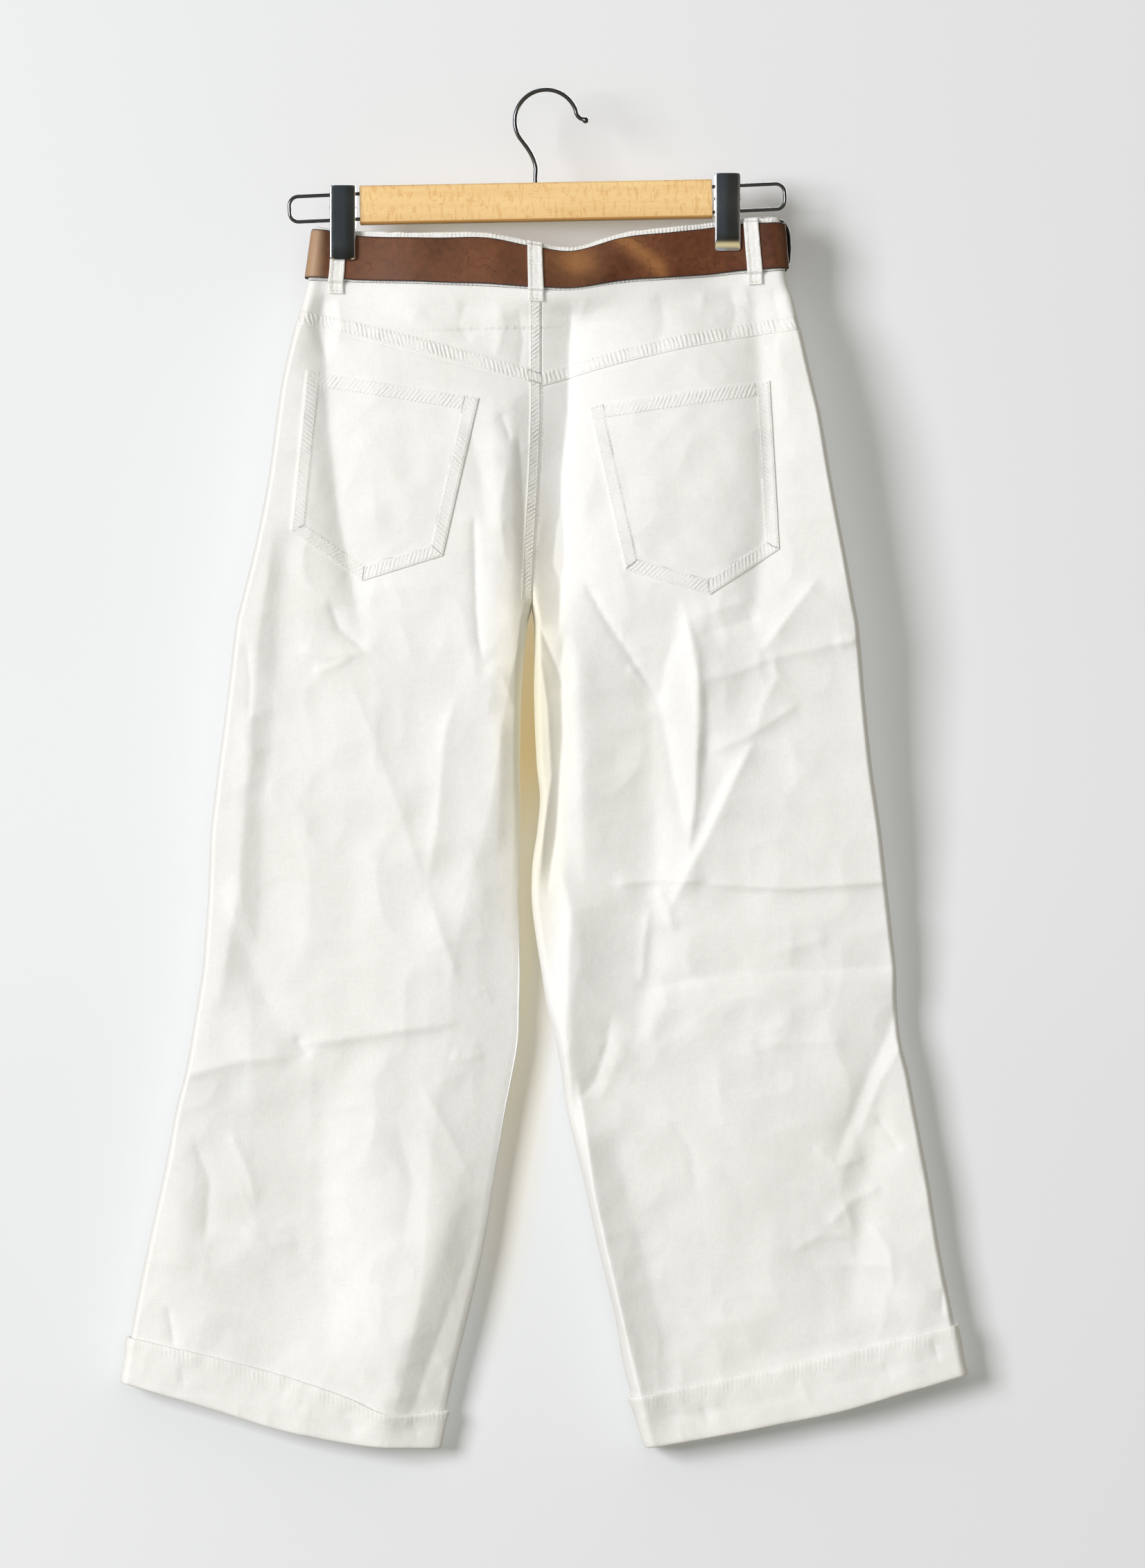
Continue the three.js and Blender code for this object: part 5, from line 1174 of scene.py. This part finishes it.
# Millimetres across a loop, and out from its back.
LOOP_SECTION = np.array([
    (-5.2, 0.0), (-5.8, 0.3), (-6.0, 0.9), (-5.8, 1.5), (-5.2, 1.85), (-4.5, 1.9), (-3.8, 1.65),
    (-3.2, 1.35), (-2.2, 1.3), (-1.1, 1.35), (0.0, 1.4), (1.1, 1.35), (2.2, 1.3), (3.2, 1.35),
    (3.8, 1.65), (4.5, 1.9), (5.2, 1.85), (5.8, 1.5), (6.0, 0.9), (5.8, 0.3), (5.2, 0.0), (0.0, 0.0)])


def loop_places(behind, top, foot, plies, share, across_loop, out):
    """Places on a belt loop: a share down its course, a distance across it and a distance off its back."""
    middle = mix(top, foot, np.clip(share, 0, 1))
    over = GAP + plies * (LEATHER + GAP)
    lift = 0.9 if behind else 1.9
    course = mix(mix(GAP, over, smooth((share - 0.03) / 0.058)), lift, smooth((share - 0.977) / 0.083))
    places = waist_place(np.full(np.shape(middle + across_loop), behind), middle + across_loop,
                         np.minimum(share, 1) + 0 * across_loop)
    below = np.maximum(share - 1, 0) + 0 * across_loop
    x, z = places[..., 0], places[..., 2] - below * BAND_HEIGHT
    face = "back" if behind else "front"
    rise = rise_of_cloth("left" if top < CENTRE else "right", face, x, z)
    depth = np.where(below > 0, rise, np.abs(places[..., 1])) + course + out
    return np.stack([x, -depth if behind else depth, z], -1)


def belt_loop(name, behind, top, foot, plies):
    """A belt loop: its section carried over its course, uneven by a few tenths of a millimetre."""
    share = np.unique(np.r_[np.linspace(-0.005, 0.12, 22), np.linspace(0.12, 0.96, 26),
                            np.linspace(0.96, 1.232, 36)])[:, None]
    sideways, out = LOOP_SECTION[:, 0][None, :], LOOP_SECTION[:, 1][None, :]
    run = BAND_HEIGHT * share
    waves = 0.3 * unevenness(run + sideways, 2 * sideways, 3.2, 71) * (out > 1)
    sideways = sideways + 0.35 * unevenness(run, 0 * run + 40 * plies, 11, 73)
    grid = loop_places(behind, top, foot, plies, share, sideways, out + waves)
    piece = skin("strap_" + name, grid, ring=True, capped=True)
    keep_seam(piece, run + 0 * sideways, sideways + 0 * run, 0.7 * (np.abs(sideways) > 2.6) + 0 * run)
    return sewn_piece(piece, DENIM_CLOTH, "denim", name)


def loop_rows(behind, top, foot, plies):
    """Two rows along the loop and a bar across it near each end."""
    share = np.linspace(0.0, 1.21, 70)
    rows = [loop_places(behind, top, foot, plies, share, side + 0 * share, 1.55) for side in (-3.4, 3.4)]
    level = np.linspace(-4.6, 4.6, 12)
    rows += [loop_places(behind, top, foot, plies, at + 0 * level, level, 1.7)
             for at in (0.015, 1.175, 1.195)]
    return rows


for name, *course in BELT_LOOPS:
    strap = belt_loop(name, *course)
    thread = stitching("stitches_" + name, loop_rows(*course), (0, -1 if course[0] else 1, 0))

# ------------------------------------------------------------------ belt strap
# A strap of brown cowhide about 35 mm wide and 3.2 mm thick, its edges bevelled and stained dark. It runs
# from the buckle round the waist through the loops and laps past the buckle. Wear has rubbed the finish
# golden behind the right hip, and left fine creases across it.
FIRST_PLY = 0.4
BELT_TOP = 0.10
BELT_LOW = 0.965
KEEPER = dict(x=114, wall=1.5, margin=0.0525, out=5.5, reach=4.45, corner=1.8, clear=6, ease=9)
BUTTON = dict(x=-13, radius=8.5, lean=4, clear=12, ease=28)
BUTTON_RELIEF = 4.4
BELT_WIDTH = 35.35
BELT_START = 149
BELT_END = 66
# Millimetres across the strap, and out from its inner face.
BELT_SECTION = np.array([
    (0.0, 1.0), (0.6, 0.3), (1.6, 0.0), (18, 0.0), (34, 0.0), (34.8, 0.3), (35.3, 1.0), (35.35, 2.0),
    (35.1, 2.7), (34.5, 3.1), (33.4, 3.2), (30, 3.22), (26, 3.25), (22, 3.28), (18, 3.3), (14, 3.28),
    (10, 3.25), (6, 3.22), (2.2, 3.2), (1.0, 3.1), (0.3, 2.7), (0.0, 2.0)])


def relief(x):
    """How far the belt stands off in front, over the keeper's back and over the waist button."""
    keeper, button = (1 - smooth((np.abs(x - piece["x"]) - piece["clear"]) / piece["ease"])
                      for piece in (KEEPER, BUTTON))
    return (KEEPER["wall"] + GAP) * keeper + BUTTON_RELIEF * button


def leather_finish(name, dark, mid, worn):
    """Brown leather: cloudy patches, fine pores, creases across, a golden rub and a pale tan where the
    attribute says so, and dark stained edges. The pale tan is mostly a painted sheen on the belt's left
    turn."""
    finish, tree, shader = new_finish(name, Roughness=0.55, Specular_IOR_Level=0.22)
    place = node(tree, "TexCoord").outputs["Object"]
    clouds = noise(tree, place, 26.0, 4.0, Roughness=0.6)
    both = maths(tree, "MULTIPLY_ADD", noise(tree, place, 210.0, 4.0, Roughness=0.65), 0.35, clouds)
    tone = graded(tree, spread(tree, both, 0.45, 0.95), (0, dark), (1, mid))
    rub, stain, fade = stored(tree, "wear")
    rubbed = maths(tree, "MULTIPLY", rub, spread(tree, both, 0.45, 0.8, foot=0.65))
    tone = mixed(tree, rubbed, tone, worn)
    # Painted sheen: the attribute's third part lightens the leather to a pale tan, most of all on the
    # belt's left turn, where it would catch the light.
    tone = mixed(tree, fade, tone, (0.42, 0.27, 0.17, 1))
    lines = noise(tree, scaled(tree, place, (60, 60, 95)), detail=4.0, Distortion=0.6)
    off_line = maths(tree, "ABSOLUTE", maths(tree, "SUBTRACT", lines, 0.5), 0.5)
    cracked = maths(tree, "MULTIPLY", spread(tree, off_line, 0, 0.014, 1.0, 0.0),
                    spread(tree, clouds, 0.52, 0.6, top=0.6))
    tone = mixed(tree, cracked, tone, (0.035, 0.012, 0.006, 1))
    tone = mixed(tree, stain, tone, (0.018, 0.021, 0.03, 1))
    tree.links.new(tone, shader.inputs["Base Color"])
    pores = node(tree, "TexVoronoi", Vector=place, Scale=1100.0).outputs["Distance"]
    creases = noise(tree, scaled(tree, place, (150, 150, 28)), detail=3.0)
    tree.links.new(bumped(tree, (pores, 0.0001, 0.35), (creases, 0.0007, 0.3)), shader.inputs["Normal"])
    tree.links.new(spread(tree, both, 0.4, 1.0, 0.42, 0.62), shader.inputs["Roughness"])
    return finish


LEATHER_FINISH = leather_finish("belt_leather", dark=(0.058, 0.017, 0.0065, 1),
                                mid=(0.176, 0.060, 0.0252, 1), worn=(0.34, 0.15, 0.05, 1))


def keep_wear_and_painted_sheen(piece, rubbed, stained, faded):
    """Stores how rubbed the leather is, how much of its stained edge shows and how far it is lightened to a
    pale tan, mostly a painted sheen on the belt's left turn, for its finish to read."""
    wear = piece.data.attributes.new("wear", "FLOAT_VECTOR", "POINT")
    values = np.stack(np.broadcast_arrays(rubbed, stained, faded), -1)
    wear.data.foreach_set("vector", values.reshape(-1).astype(np.float32))


def belt_places():
    """Places on the strap: its section carried round the waist over what lies under it, its upper edge a
    little higher at the left hip and its end drawn in to a rounded tip."""
    turn = np.linspace(turn_at(BELT_START, -1), turn_at(BELT_END, 1), 900)[:, None]
    x = mix(WAIST_LEFT, WAIST_RIGHT, (1 - np.cos(turn)) / 2)
    in_front = np.sin(turn) < 0
    over = np.where(turn > math.pi, smooth((182 - x) / 20), 0)
    stand = FIRST_PLY + over * (LEATHER + GAP) + np.where(in_front, relief(x), 0)
    wide, thick = BELT_SECTION[:, 0][None, :], BELT_SECTION[:, 1][None, :]
    run = turn * HALF_WAIST
    share = BELT_TOP + (BELT_LOW - BELT_TOP) * wide / BELT_WIDTH + 0.006 * unevenness(run, 0 * turn, 30, 81)
    tip = smooth((turn_at(BELT_END, 1) - turn) * HALF_WAIST / 14)
    share = share - 0.055 * smooth((-149 - x) / 12) * ~in_front * (1 - 0.7 * wide / BELT_WIDTH)
    share = mix(0.53, share, np.sqrt(0.12 + 0.88 * tip))
    surface = 0.35 * unevenness(run, wide, 34, 83) * (thick > 1.5)
    return round_waist(turn + 0 * wide, share, stand + thick + surface)[0]


places = belt_places()
strap = skin("belt_strap_leather", places, ring=True, capped=True)
x, y, z = places[..., 0], places[..., 1], places[..., 2]
stripe = np.exp(-((x - 70 + 1.25 * (z + 124)) / 10) ** 2) * smooth((x - 44) / 12) * smooth((100 - x) / 12)
spot = np.exp(-((x - 22) / 17) ** 2 - ((z + 134) / 12) ** 2)
stained = smooth((np.abs(BELT_SECTION[None, :, 0] - 17.7) - 16.6) / 0.7)
# The pale tan: 0.9 on the left turn is a painted sheen where it would catch the light; the rest is a slight
# paleness over the left half and at the right end.
faded = 0.9 * smooth((-170 - x) / 12) + 0.07 * smooth((60 - x) / 30) + 0.08 * smooth((x - 176) / 8)
behind = y < 0
keep_wear_and_painted_sheen(strap, np.clip(0.75 * stripe + 0.85 * spot, 0, 1) * behind, stained, faded * behind)
sewn_piece(strap, LEATHER_FINISH, "belt_leather", "belt_strap")

# ------------------------------------------------------------------ belt keeper
# A ring of the same brown leather, 10 mm wide and 1.5 mm thick, its ends stitched together behind. It goes
# round both plies of the belt beside the buckle.
def rounded_oblong(half, radii, centre=0.0):
    """Points round an oblong of that half size, each of its corners a quarter ellipse of those radii."""
    corner = np.linspace(0, math.pi / 2, 6)
    return np.array([centre + np.array([a, b]) * (half - radii) + radii * np.array([np.cos(t), np.sin(t)])
                     for a, b, start in ((1, 1, 0), (-1, 1, 1), (-1, -1, 2), (1, -1, 3))
                     for t in corner + start * math.pi / 2])


def keeper_ring():
    """Places round the keeper: a rounded oblong loop in the plane of its width, 10 mm wide."""
    low, high = BELT_TOP - KEEPER["margin"], BELT_LOW + KEEPER["margin"]
    loop = rounded_oblong(np.array([(high - low) / 2, KEEPER["reach"]]),
                          np.array([KEEPER["corner"] / BAND_HEIGHT, KEEPER["corner"]]),
                          np.array([(high + low) / 2, KEEPER["out"]]))
    ahead = np.roll(loop, -1, axis=0) - np.roll(loop, 1, axis=0)
    ahead[:, 0] *= BAND_HEIGHT
    off = np.stack([ahead[:, 1], -ahead[:, 0]], -1) / np.hypot(*ahead.T)[:, None]
    along, thick = np.array([(-5, -0.4), (-4.6, -0.75), (4.6, -0.75), (5, -0.4), (5, 0.4), (4.6, 0.75),
                             (0, 0.8), (-4.6, 0.75), (-5, 0.4)]).T[:, None]
    share = loop[:, 0, None] + off[:, 0, None] * thick / BAND_HEIGHT
    out = loop[:, 1, None] + off[:, 1, None] * thick
    turn = 2 * math.pi - np.arccos(1 - 2 * (KEEPER["x"] + along - WAIST_LEFT)
                                   / (WAIST_RIGHT - WAIST_LEFT)) + 0 * share
    return round_waist(turn, share, out)[0]


keeper = skin("keeper_leather", keeper_ring(), ring=True, loop=True)
keep_wear_and_painted_sheen(keeper, np.zeros(len(keeper.data.vertices)), 0, 0)
sewn_piece(keeper, LEATHER_FINISH, "belt_leather", "belt_keeper")

# ------------------------------------------------------------------ buckle and waist button
# A single-pronged buckle of dark polished steel at the right of the front: an oblong frame of round bar,
# its heel held in the strap's fold, and a prong through the strap. The waist button is a nickel-plated cap.
BUCKLE = dict(heelX=156.2, farX=190.0, heelY=6.6, farY=11.6, z=-121, height=48, bar=3.2, square=3,
              heelBar=3)
PRONG = dict(heel=(163.5, 14.2, -121), tip=(190.6, 15.4, -121), radii=(1.2, 0.96))


def metal_finish(name, colour, roughness, wear=0.06):
    """Polished plated metal, its polish a little uneven, with faint rubbing lines."""
    finish, tree, shader = new_finish(name, Metallic=1.0)
    place = node(tree, "TexCoord").outputs["Object"]
    cloud = noise(tree, place, 55.0, 4.0)
    lines = noise(tree, scaled(tree, place, (1400, 1400, 60)), detail=1.0)
    uneven = maths(tree, "MULTIPLY_ADD", lines, 0.4, cloud)
    tree.links.new(spread(tree, uneven, 0.4, 1.1, roughness, roughness + wear), shader.inputs["Roughness"])
    tone = graded(tree, cloud, (0, (*(0.86 * c for c in colour), 1)), (1, (*colour, 1)))
    tree.links.new(tone, shader.inputs["Base Color"])
    tree.links.new(bumped(tree, (cloud, 0.0002, 0.05)), shader.inputs["Normal"])
    return finish


BLACK_STEEL = metal_finish("dark_steel", (0.045, 0.047, 0.052), 0.2)
NICKEL = metal_finish("nickel", (0.62, 0.60, 0.57), 0.24)


def full_turn(count):
    """Angles spaced evenly round a full turn."""
    return np.linspace(0, 2 * math.pi, count, endpoint=False)


def buckle_frame():
    """Places on the frame: a round bar along a squared oval, turned to lie along the belt."""
    size = np.array([BUCKLE["farX"] - BUCKLE["heelX"], BUCKLE["height"] - BUCKLE["bar"]]) / 2
    oval = np.stack([np.cos(full_turn(96)), np.sin(full_turn(96))], -1)
    local = size * np.sign(oval) * np.abs(oval) ** (2 / BUCKLE["square"])
    ahead = np.roll(local, -1, axis=0) - np.roll(local, 1, axis=0)
    off = np.stack([ahead[:, 1], -ahead[:, 0]], -1) / np.hypot(*ahead.T)[:, None]
    around = full_turn(14)
    radius = BUCKLE["bar"] / 2
    flat = local[:, None] + radius * np.cos(around)[None, :, None] * off[:, None]
    return lie_on_belt(flat[..., 0], radius * np.sin(around)[None, :] + 0 * flat[..., 0], flat[..., 1])


def lie_on_belt(along, out, up):
    """Turns places in the buckle's own plane to lie along the belt."""
    lean = math.atan2(BUCKLE["farY"] - BUCKLE["heelY"], BUCKLE["farX"] - BUCKLE["heelX"])
    x = (BUCKLE["heelX"] + BUCKLE["farX"]) / 2 + along * math.cos(lean) - out * math.sin(lean)
    y = (BUCKLE["heelY"] + BUCKLE["farY"]) / 2 + along * math.sin(lean) + out * math.cos(lean)
    return np.stack([x, y, BUCKLE["z"] + up], -1)


def round_bar(start, end, radii, sides=16):
    """A round bar between two points in the level plane, its radius read along it, with rounded ends."""
    start, end = np.array(start, float), np.array(end, float)
    way = (end - start) / np.linalg.norm(end - start)
    side = np.array([-way[1], way[0], 0])
    up = np.cross(way, side)
    cap = np.linspace(0, math.pi / 2, 6)[1:]
    first, last = radii
    length = np.linalg.norm(end - start)
    at = np.r_[first * (1 - np.cos(cap)), length - last * (1 - np.cos(cap[::-1]))]
    wide = np.r_[first * np.sin(cap), last * np.sin(cap[::-1])]
    around = full_turn(sides)
    ring = np.cos(around)[:, None] * side + np.sin(around)[:, None] * up
    return start + at[:, None, None] * way + wide[:, None, None] * ring[None]


frame_ring = skin("buckle_ring", buckle_frame(), ring=True, loop=True)
sewn_piece(frame_ring, BLACK_STEEL, "buckle_metal", "buckle_frame")
reach, tall = (BUCKLE["farX"] - BUCKLE["heelX"]) / 2, (BUCKLE["height"] - BUCKLE["bar"]) / 2 - 0.5
around = full_turn(14)[None, :]
up = np.array([-tall, tall])[:, None]
radius = BUCKLE["heelBar"] / 2
heel_places = lie_on_belt(radius * np.cos(around) - reach * 0.7 + 0 * up, radius * np.sin(around) + 0 * up,
                          up + 0 * around)
heel_bar = skin("buckle_heel_bar", heel_places, ring=True, capped=True)
sewn_piece(heel_bar, BLACK_STEEL, "buckle_metal", "buckle_frame")
prong = skin("buckle_tongue", round_bar(PRONG["heel"], PRONG["tip"], PRONG["radii"]), ring=True,
             capped=True)
sewn_piece(prong, BLACK_STEEL, "buckle_metal", "buckle_prong")


def button_cap():
    """Places on the button: a low dome with a rolled edge and a dished middle, turned about its post."""
    r = BUTTON["radius"]
    profile = np.array([(0.02, 0), (0.6, 0), (0.93, 0.5), (0.99, 1.2), (1.0, 1.9), (0.97, 2.6), (0.9, 3.1),
                        (0.8, 3.35), (0.72, 3.2), (0.66, 2.9), (0.5, 2.85), (0.3, 3.0), (0.12, 3.1),
                        (0.02, 3.12)])
    around = full_turn(40)[None, :]
    x = r * profile[:, 0, None] * np.cos(around)
    z = r * profile[:, 0, None] * np.sin(around)
    y = profile[:, 1, None] + 0 * x
    lean = -math.radians(BUTTON["lean"])
    seat = waist_place(np.array(False), np.array(float(BUTTON["x"])), 0.5)
    turned = np.stack([x, y * math.cos(lean) - z * math.sin(lean),
                       y * math.sin(lean) + z * math.cos(lean)], -1)
    return seat + np.array([0, 2 * GAP, 0]) + turned


cap = skin("waist_button_cap", button_cap(), ring=True, capped=True)
sewn_piece(cap, NICKEL, "button_metal", "waist_button")

# ------------------------------------------------------------------ hanger bar
# A planed beech bar with softened edges and clear lacquer. Its fine flecks and pores run along it. The hook
# is pressed into its top and a wire loop into each of its ends.
BAR = dict(x=-8, z=-86.3, length=275, height=30.3, thickness=13, tilt=1.08, edge=2.5, eased=0.8)


def bar_places():
    """Places on the bar: a section with edges rounded to 2.5 mm, carried along and eased at both ends."""
    section = rounded_oblong(np.array([BAR["thickness"] / 2, BAR["height"] / 2]), BAR["edge"])
    ease = np.linspace(0, math.pi / 2, 5)
    at = np.r_[BAR["eased"] * (1 - np.cos(ease)), 6, np.linspace(30, BAR["length"] - 30, 9)]
    at = np.r_[at, BAR["length"] - 6, BAR["length"] - BAR["eased"] * (1 - np.cos(ease[::-1]))]
    at -= BAR["length"] / 2
    inset = BAR["eased"] * (1 - np.sin(ease))
    inset = np.r_[inset, np.zeros(11), inset[::-1]][:, None, None]
    size = 1 - inset / np.abs(section).max(0)
    face = section[None] * size
    tilt = math.radians(BAR["tilt"])
    along = at[:, None] + 0 * face[..., 0]
    x = BAR["x"] + along * math.cos(tilt) - face[..., 1] * math.sin(tilt)
    z = BAR["z"] + along * math.sin(tilt) + face[..., 1] * math.cos(tilt)
    return np.stack([x, face[..., 0], z], -1)


def beech_finish():
    """Lacquered beech: pale streaks along the bar, short dark flecks and slanted rays, and a painted shade
    on the faces that turn downwards.
    """
    finish, tree, shader = new_finish("lacquered_beech", Roughness=0.42, Specular_IOR_Level=0.45,
                                      Coat_Weight=0.25, Coat_Roughness=0.25)
    place = node(tree, "TexCoord").outputs["Object"]
    grain = noise(tree, scaled(tree, place, (9, 150, 150)), detail=5.0, Roughness=0.6, Distortion=0.4)
    flecks = noise(tree, scaled(tree, place, (190, 900, 1500)), detail=1.0)
    rays = noise(tree, scaled(tree, place, (400, 120, 110), 0.85), Distortion=0.5)
    both = maths(tree, "MULTIPLY_ADD", noise(tree, place, 7.0), 0.4, grain)
    tone = graded(tree, spread(tree, both, 0.4, 0.95), (0, (0.80, 0.52, 0.224, 1)),
                  (1, (0.91, 0.65, 0.317, 1)))
    tone = mixed(tree, spread(tree, rays, 0.53, 0.64, top=0.55), tone, (0.74, 0.41, 0.14, 1))
    tone = mixed(tree, spread(tree, flecks, 0.64, 0.74, top=0.55), tone, (0.50, 0.26, 0.09, 1))
    # Painted shade: faces that turn downwards are darkened to a deep brown, as if out of the light.
    facing = split(tree, node(tree, "NewGeometry").outputs["Normal"])
    tone = mixed(tree, spread(tree, facing["Z"], -0.02, -0.36), tone, (0.50, 0.255, 0.075, 1))
    tree.links.new(tone, shader.inputs["Base Color"])
    tree.links.new(bumped(tree, (flecks, 0.0002, 0.15)), shader.inputs["Normal"])
    return finish


bar = skin("beech_bar", bar_places(), ring=True, capped=True)
bar.data.set_sharp_from_angle(angle=math.radians(50))
sewn_piece(bar, beech_finish(), "beech", "hanger_bar")

# ------------------------------------------------------------------ hook
# One bent chromed wire 3.2 mm thick: a stem pressed into the bar, a swan neck, an open bend and a small
# ball at its tip.
HOOK = dict(wire=3.2, radius=24.5, centreX=0, stemX=-8.4, start=12, end=222, sunk=9, ball=2.5)
HOOK_STEPS = 330
# The wires' chrome is coloured far darker than polished chrome: painted darkness that stands in for the
# dark room they mirror, and keeps their highlights small.
CHROME = metal_finish("chrome", (0.15, 0.153, 0.16), 0.16)


def curve_through(points, steps):
    """A smooth path through points: between each pair a cubic with the slopes of its neighbours."""
    p = np.array(points, float)
    run = np.r_[0, np.cumsum(np.sqrt(np.linalg.norm(np.diff(p, axis=0), axis=1)))]
    slope = np.gradient(p, run, axis=0)
    at = np.linspace(0, run[-1], steps)
    i = np.clip(np.searchsorted(run, at) - 1, 0, len(run) - 2)
    span = (run[i + 1] - run[i])[:, None]
    t = (at - run[i])[:, None] / span
    return (p[i] * (1 + 2 * t) * (1 - t) ** 2 + p[i + 1] * t * t * (3 - 2 * t)
            + span * (slope[i] * t * (1 - t) ** 2 - slope[i + 1] * t * t * (1 - t)))


def wire(name, path, radius, sides=16):
    """A round wire along a path in the plane of X and Z; its radius may change along it."""
    way = np.gradient(path, axis=0)
    way /= np.linalg.norm(way, axis=1)[:, None]
    side = np.stack([way[:, 2], 0 * way[:, 1], -way[:, 0]], -1)
    around = full_turn(sides)[None, :, None]
    ring = np.cos(around) * side[:, None] + np.sin(around) * np.array([0, 1.0, 0])
    radius = np.broadcast_to(radius, len(path))
    return skin(name, path[:, None] + radius[:, None, None] * ring, ring=True, capped=True)


def arc(x, z, radius, start, end, count):
    """Points on an arc in the plane of X and Z, between two angles in degrees."""
    angle = np.radians(np.linspace(start, end, count))
    return np.stack([x + radius * np.cos(angle), 0 * angle, z + radius * np.sin(angle)], -1)


bend = arc(HOOK["centreX"], HOOK["wire"] / 2 - HOOK["radius"], HOOK["radius"], HOOK["start"], HOOK["end"],
           19)
ball = bend[0] + (6.6, 0, -4.4)
neck = bend[-1]
stem_top = BAR["z"] + BAR["height"] / 2
path = curve_through([
    ball + (2.3, 0, -1.3), ball, bend[0] + (2.2, 0, -2.6), *bend,
    (mix(neck[0], HOOK["stemX"], 0.62), 0, neck[2] - 9), (HOOK["stemX"], 0, neck[2] - 19),
    (HOOK["stemX"], 0, stem_top + 4), (HOOK["stemX"], 0, stem_top + GAP - HOOK["sunk"])], HOOK_STEPS)
from_ball = np.linalg.norm(path - ball, axis=1)
thick = np.where(from_ball < HOOK["ball"], np.sqrt(np.maximum(HOOK["ball"] ** 2 - from_ball ** 2, 0.02)), 0)
past_tip = np.arange(HOOK_STEPS) * 0.7 > 2.4
thick = np.maximum(thick, np.where(past_tip, HOOK["wire"] / 2, 0.2))
sewn_piece(wire("hook_wire", path, thick), CHROME, "chrome_wire", "hook")

# ------------------------------------------------------------------ wire loops
# A chromed wire at each end of the bar, bent round into two level runs on which its clip slides. Both of
# its ends are pressed into the end of the bar.
WIRE = dict(diameter=2.8, spacing=19.8, corner=7, sunk=6, tilt=2.6)
# For each loop: its side, where it leaves the bar and how far it reaches.
WIRE_LOOPS = [("wire_loop_left", -1, -145.4, -89.55, 55), ("wire_loop_right", 1, 129.4, -84.1, 56.9)]
for name, side, root, z, reach in WIRE_LOOPS:
    half, r = WIRE["spacing"] / 2, WIRE["corner"]
    straight = np.linspace(GAP - WIRE["sunk"], reach - r, 8)[:-1, None] * np.array([[1.0, 0, 0]])
    path = np.concatenate([straight + (0, 0, half), arc(reach - r, half - r, r, 90, 0, 10),
                           arc(reach - r, r - half, r, 0, -90, 10), straight[::-1] - (0, 0, half)])
    path[:, 0] *= side
    tilt = math.radians(WIRE["tilt"])
    path = np.stack([root + path[:, 0] * math.cos(tilt) - path[:, 2] * math.sin(tilt), path[:, 1],
                     z + path[:, 0] * math.sin(tilt) + path[:, 2] * math.cos(tilt)], -1)
    sewn_piece(wire(name + "_bend", path, WIRE["diameter"] / 2), CHROME, "chrome_wire", name)

# ------------------------------------------------------------------ clips
# Two sprung clips of chromed sheet steel, each a pair of jaws that hang on a pin between the wires. A jaw
# is a plate 20 mm wide with its sides folded in round the wires; below them its edges are only turned.
CLIP = dict(width=20, sheet=1.2, flange=33, lap=2.8)
# For each clip: its place across, its top and foot, the faces of its back and front jaws, and their bulge.
CLIPS = [
    ("clip_left", -158.5, -74.0, -131.8, -10.6, 8.7, 0.35),
    ("clip_right", 141.4, -64.3, -124.9, -8.6, 12.1, 1.8),
]
CHROME_SHEET = metal_finish("chrome_sheet", (0.72, 0.74, 0.76), 0.08, wear=0.1)


def jaw_places(x, top, foot, face, inset, bulge):
    """Places on a jaw: the section of a folded sheet, its folded sides long beside the wires and short
    below them, rounded at its foot and its top. Its face bulges most 12 mm above its foot."""
    away = math.copysign(1, face)
    tall = top - foot
    z = top - np.r_[0, 0.25, 0.6, 1.2, 2.5, np.linspace(4, tall - 4, 40), tall - 2.5, tall - 1.2,
                    tall - 0.5, tall]
    down = top - z
    half_sheet = CLIP["sheet"] / 2
    short = smooth((down - CLIP["flange"] + 4) / 5)
    deep = mix(abs(face) + CLIP["lap"] + half_sheet, 1.9, short) * mix(0.55, 1, smooth(down / 3))
    half = CLIP["width"] / 2 - half_sheet - inset * (1 - short)
    end = np.minimum(down, tall - down)
    half = half - 1.1 * (1 - np.sqrt(1 - np.clip(1 - end / 1.6, 0, 1) ** 2))
    r = 0.5
    swell = bulge * smooth(down / (tall - 12)) * (1 - np.clip(down / 12 - tall / 12 + 1, 0, 1) ** 2)
    corner = np.linspace(0, math.pi / 2, 5)
    rows = []
    for h, d in zip(half, deep):
        side = [(-h, -d + (d - r) * t) for t in np.linspace(0, 1, 4)[:-1]]
        bend_in = [(-h + r - r * math.cos(a), -r + r * math.sin(a)) for a in corner]
        plate = [(mix(-h + r, h - r, t), 0.35 * 4 * t * (1 - t)) for t in np.linspace(0, 1, 9)[1:-1]]
        left = side + bend_in + plate
        right = [(-a, b) for a, b in (side + bend_in)[::-1]]
        line = np.array(left + right)
        ahead = np.gradient(line, axis=0)
        off = np.stack([-ahead[:, 1], ahead[:, 0]], -1) / np.hypot(*ahead.T)[:, None]
        rows.append(np.concatenate([line + half_sheet * off, (line - half_sheet * off)[::-1]]))
    rows = np.array(rows)
    y = face + away * (half_sheet + rows[..., 1] + swell[:, None])
    return np.stack([x + rows[..., 0], y, z[:, None] + 0 * y], -1)


for name, x, top, foot, back, front, bulge in CLIPS:
    for part, face, inset in (("jaw_back", back, 0), ("jaw_front", front, 1.5)):
        jaw = skin(name + "_" + part + "_sheet", jaw_places(x, top, foot, face, inset, bulge), ring=True,
                   capped=True)
        jaw.data.set_sharp_from_angle(angle=math.radians(60))
        sewn_piece(jaw, CHROME_SHEET, "chrome_sheet", name + "_" + part)
    for part in ("pin", "spring"):
        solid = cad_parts[name + "_" + part]
        solid.data.materials.clear()
        solid.data.materials.append(CHROME)
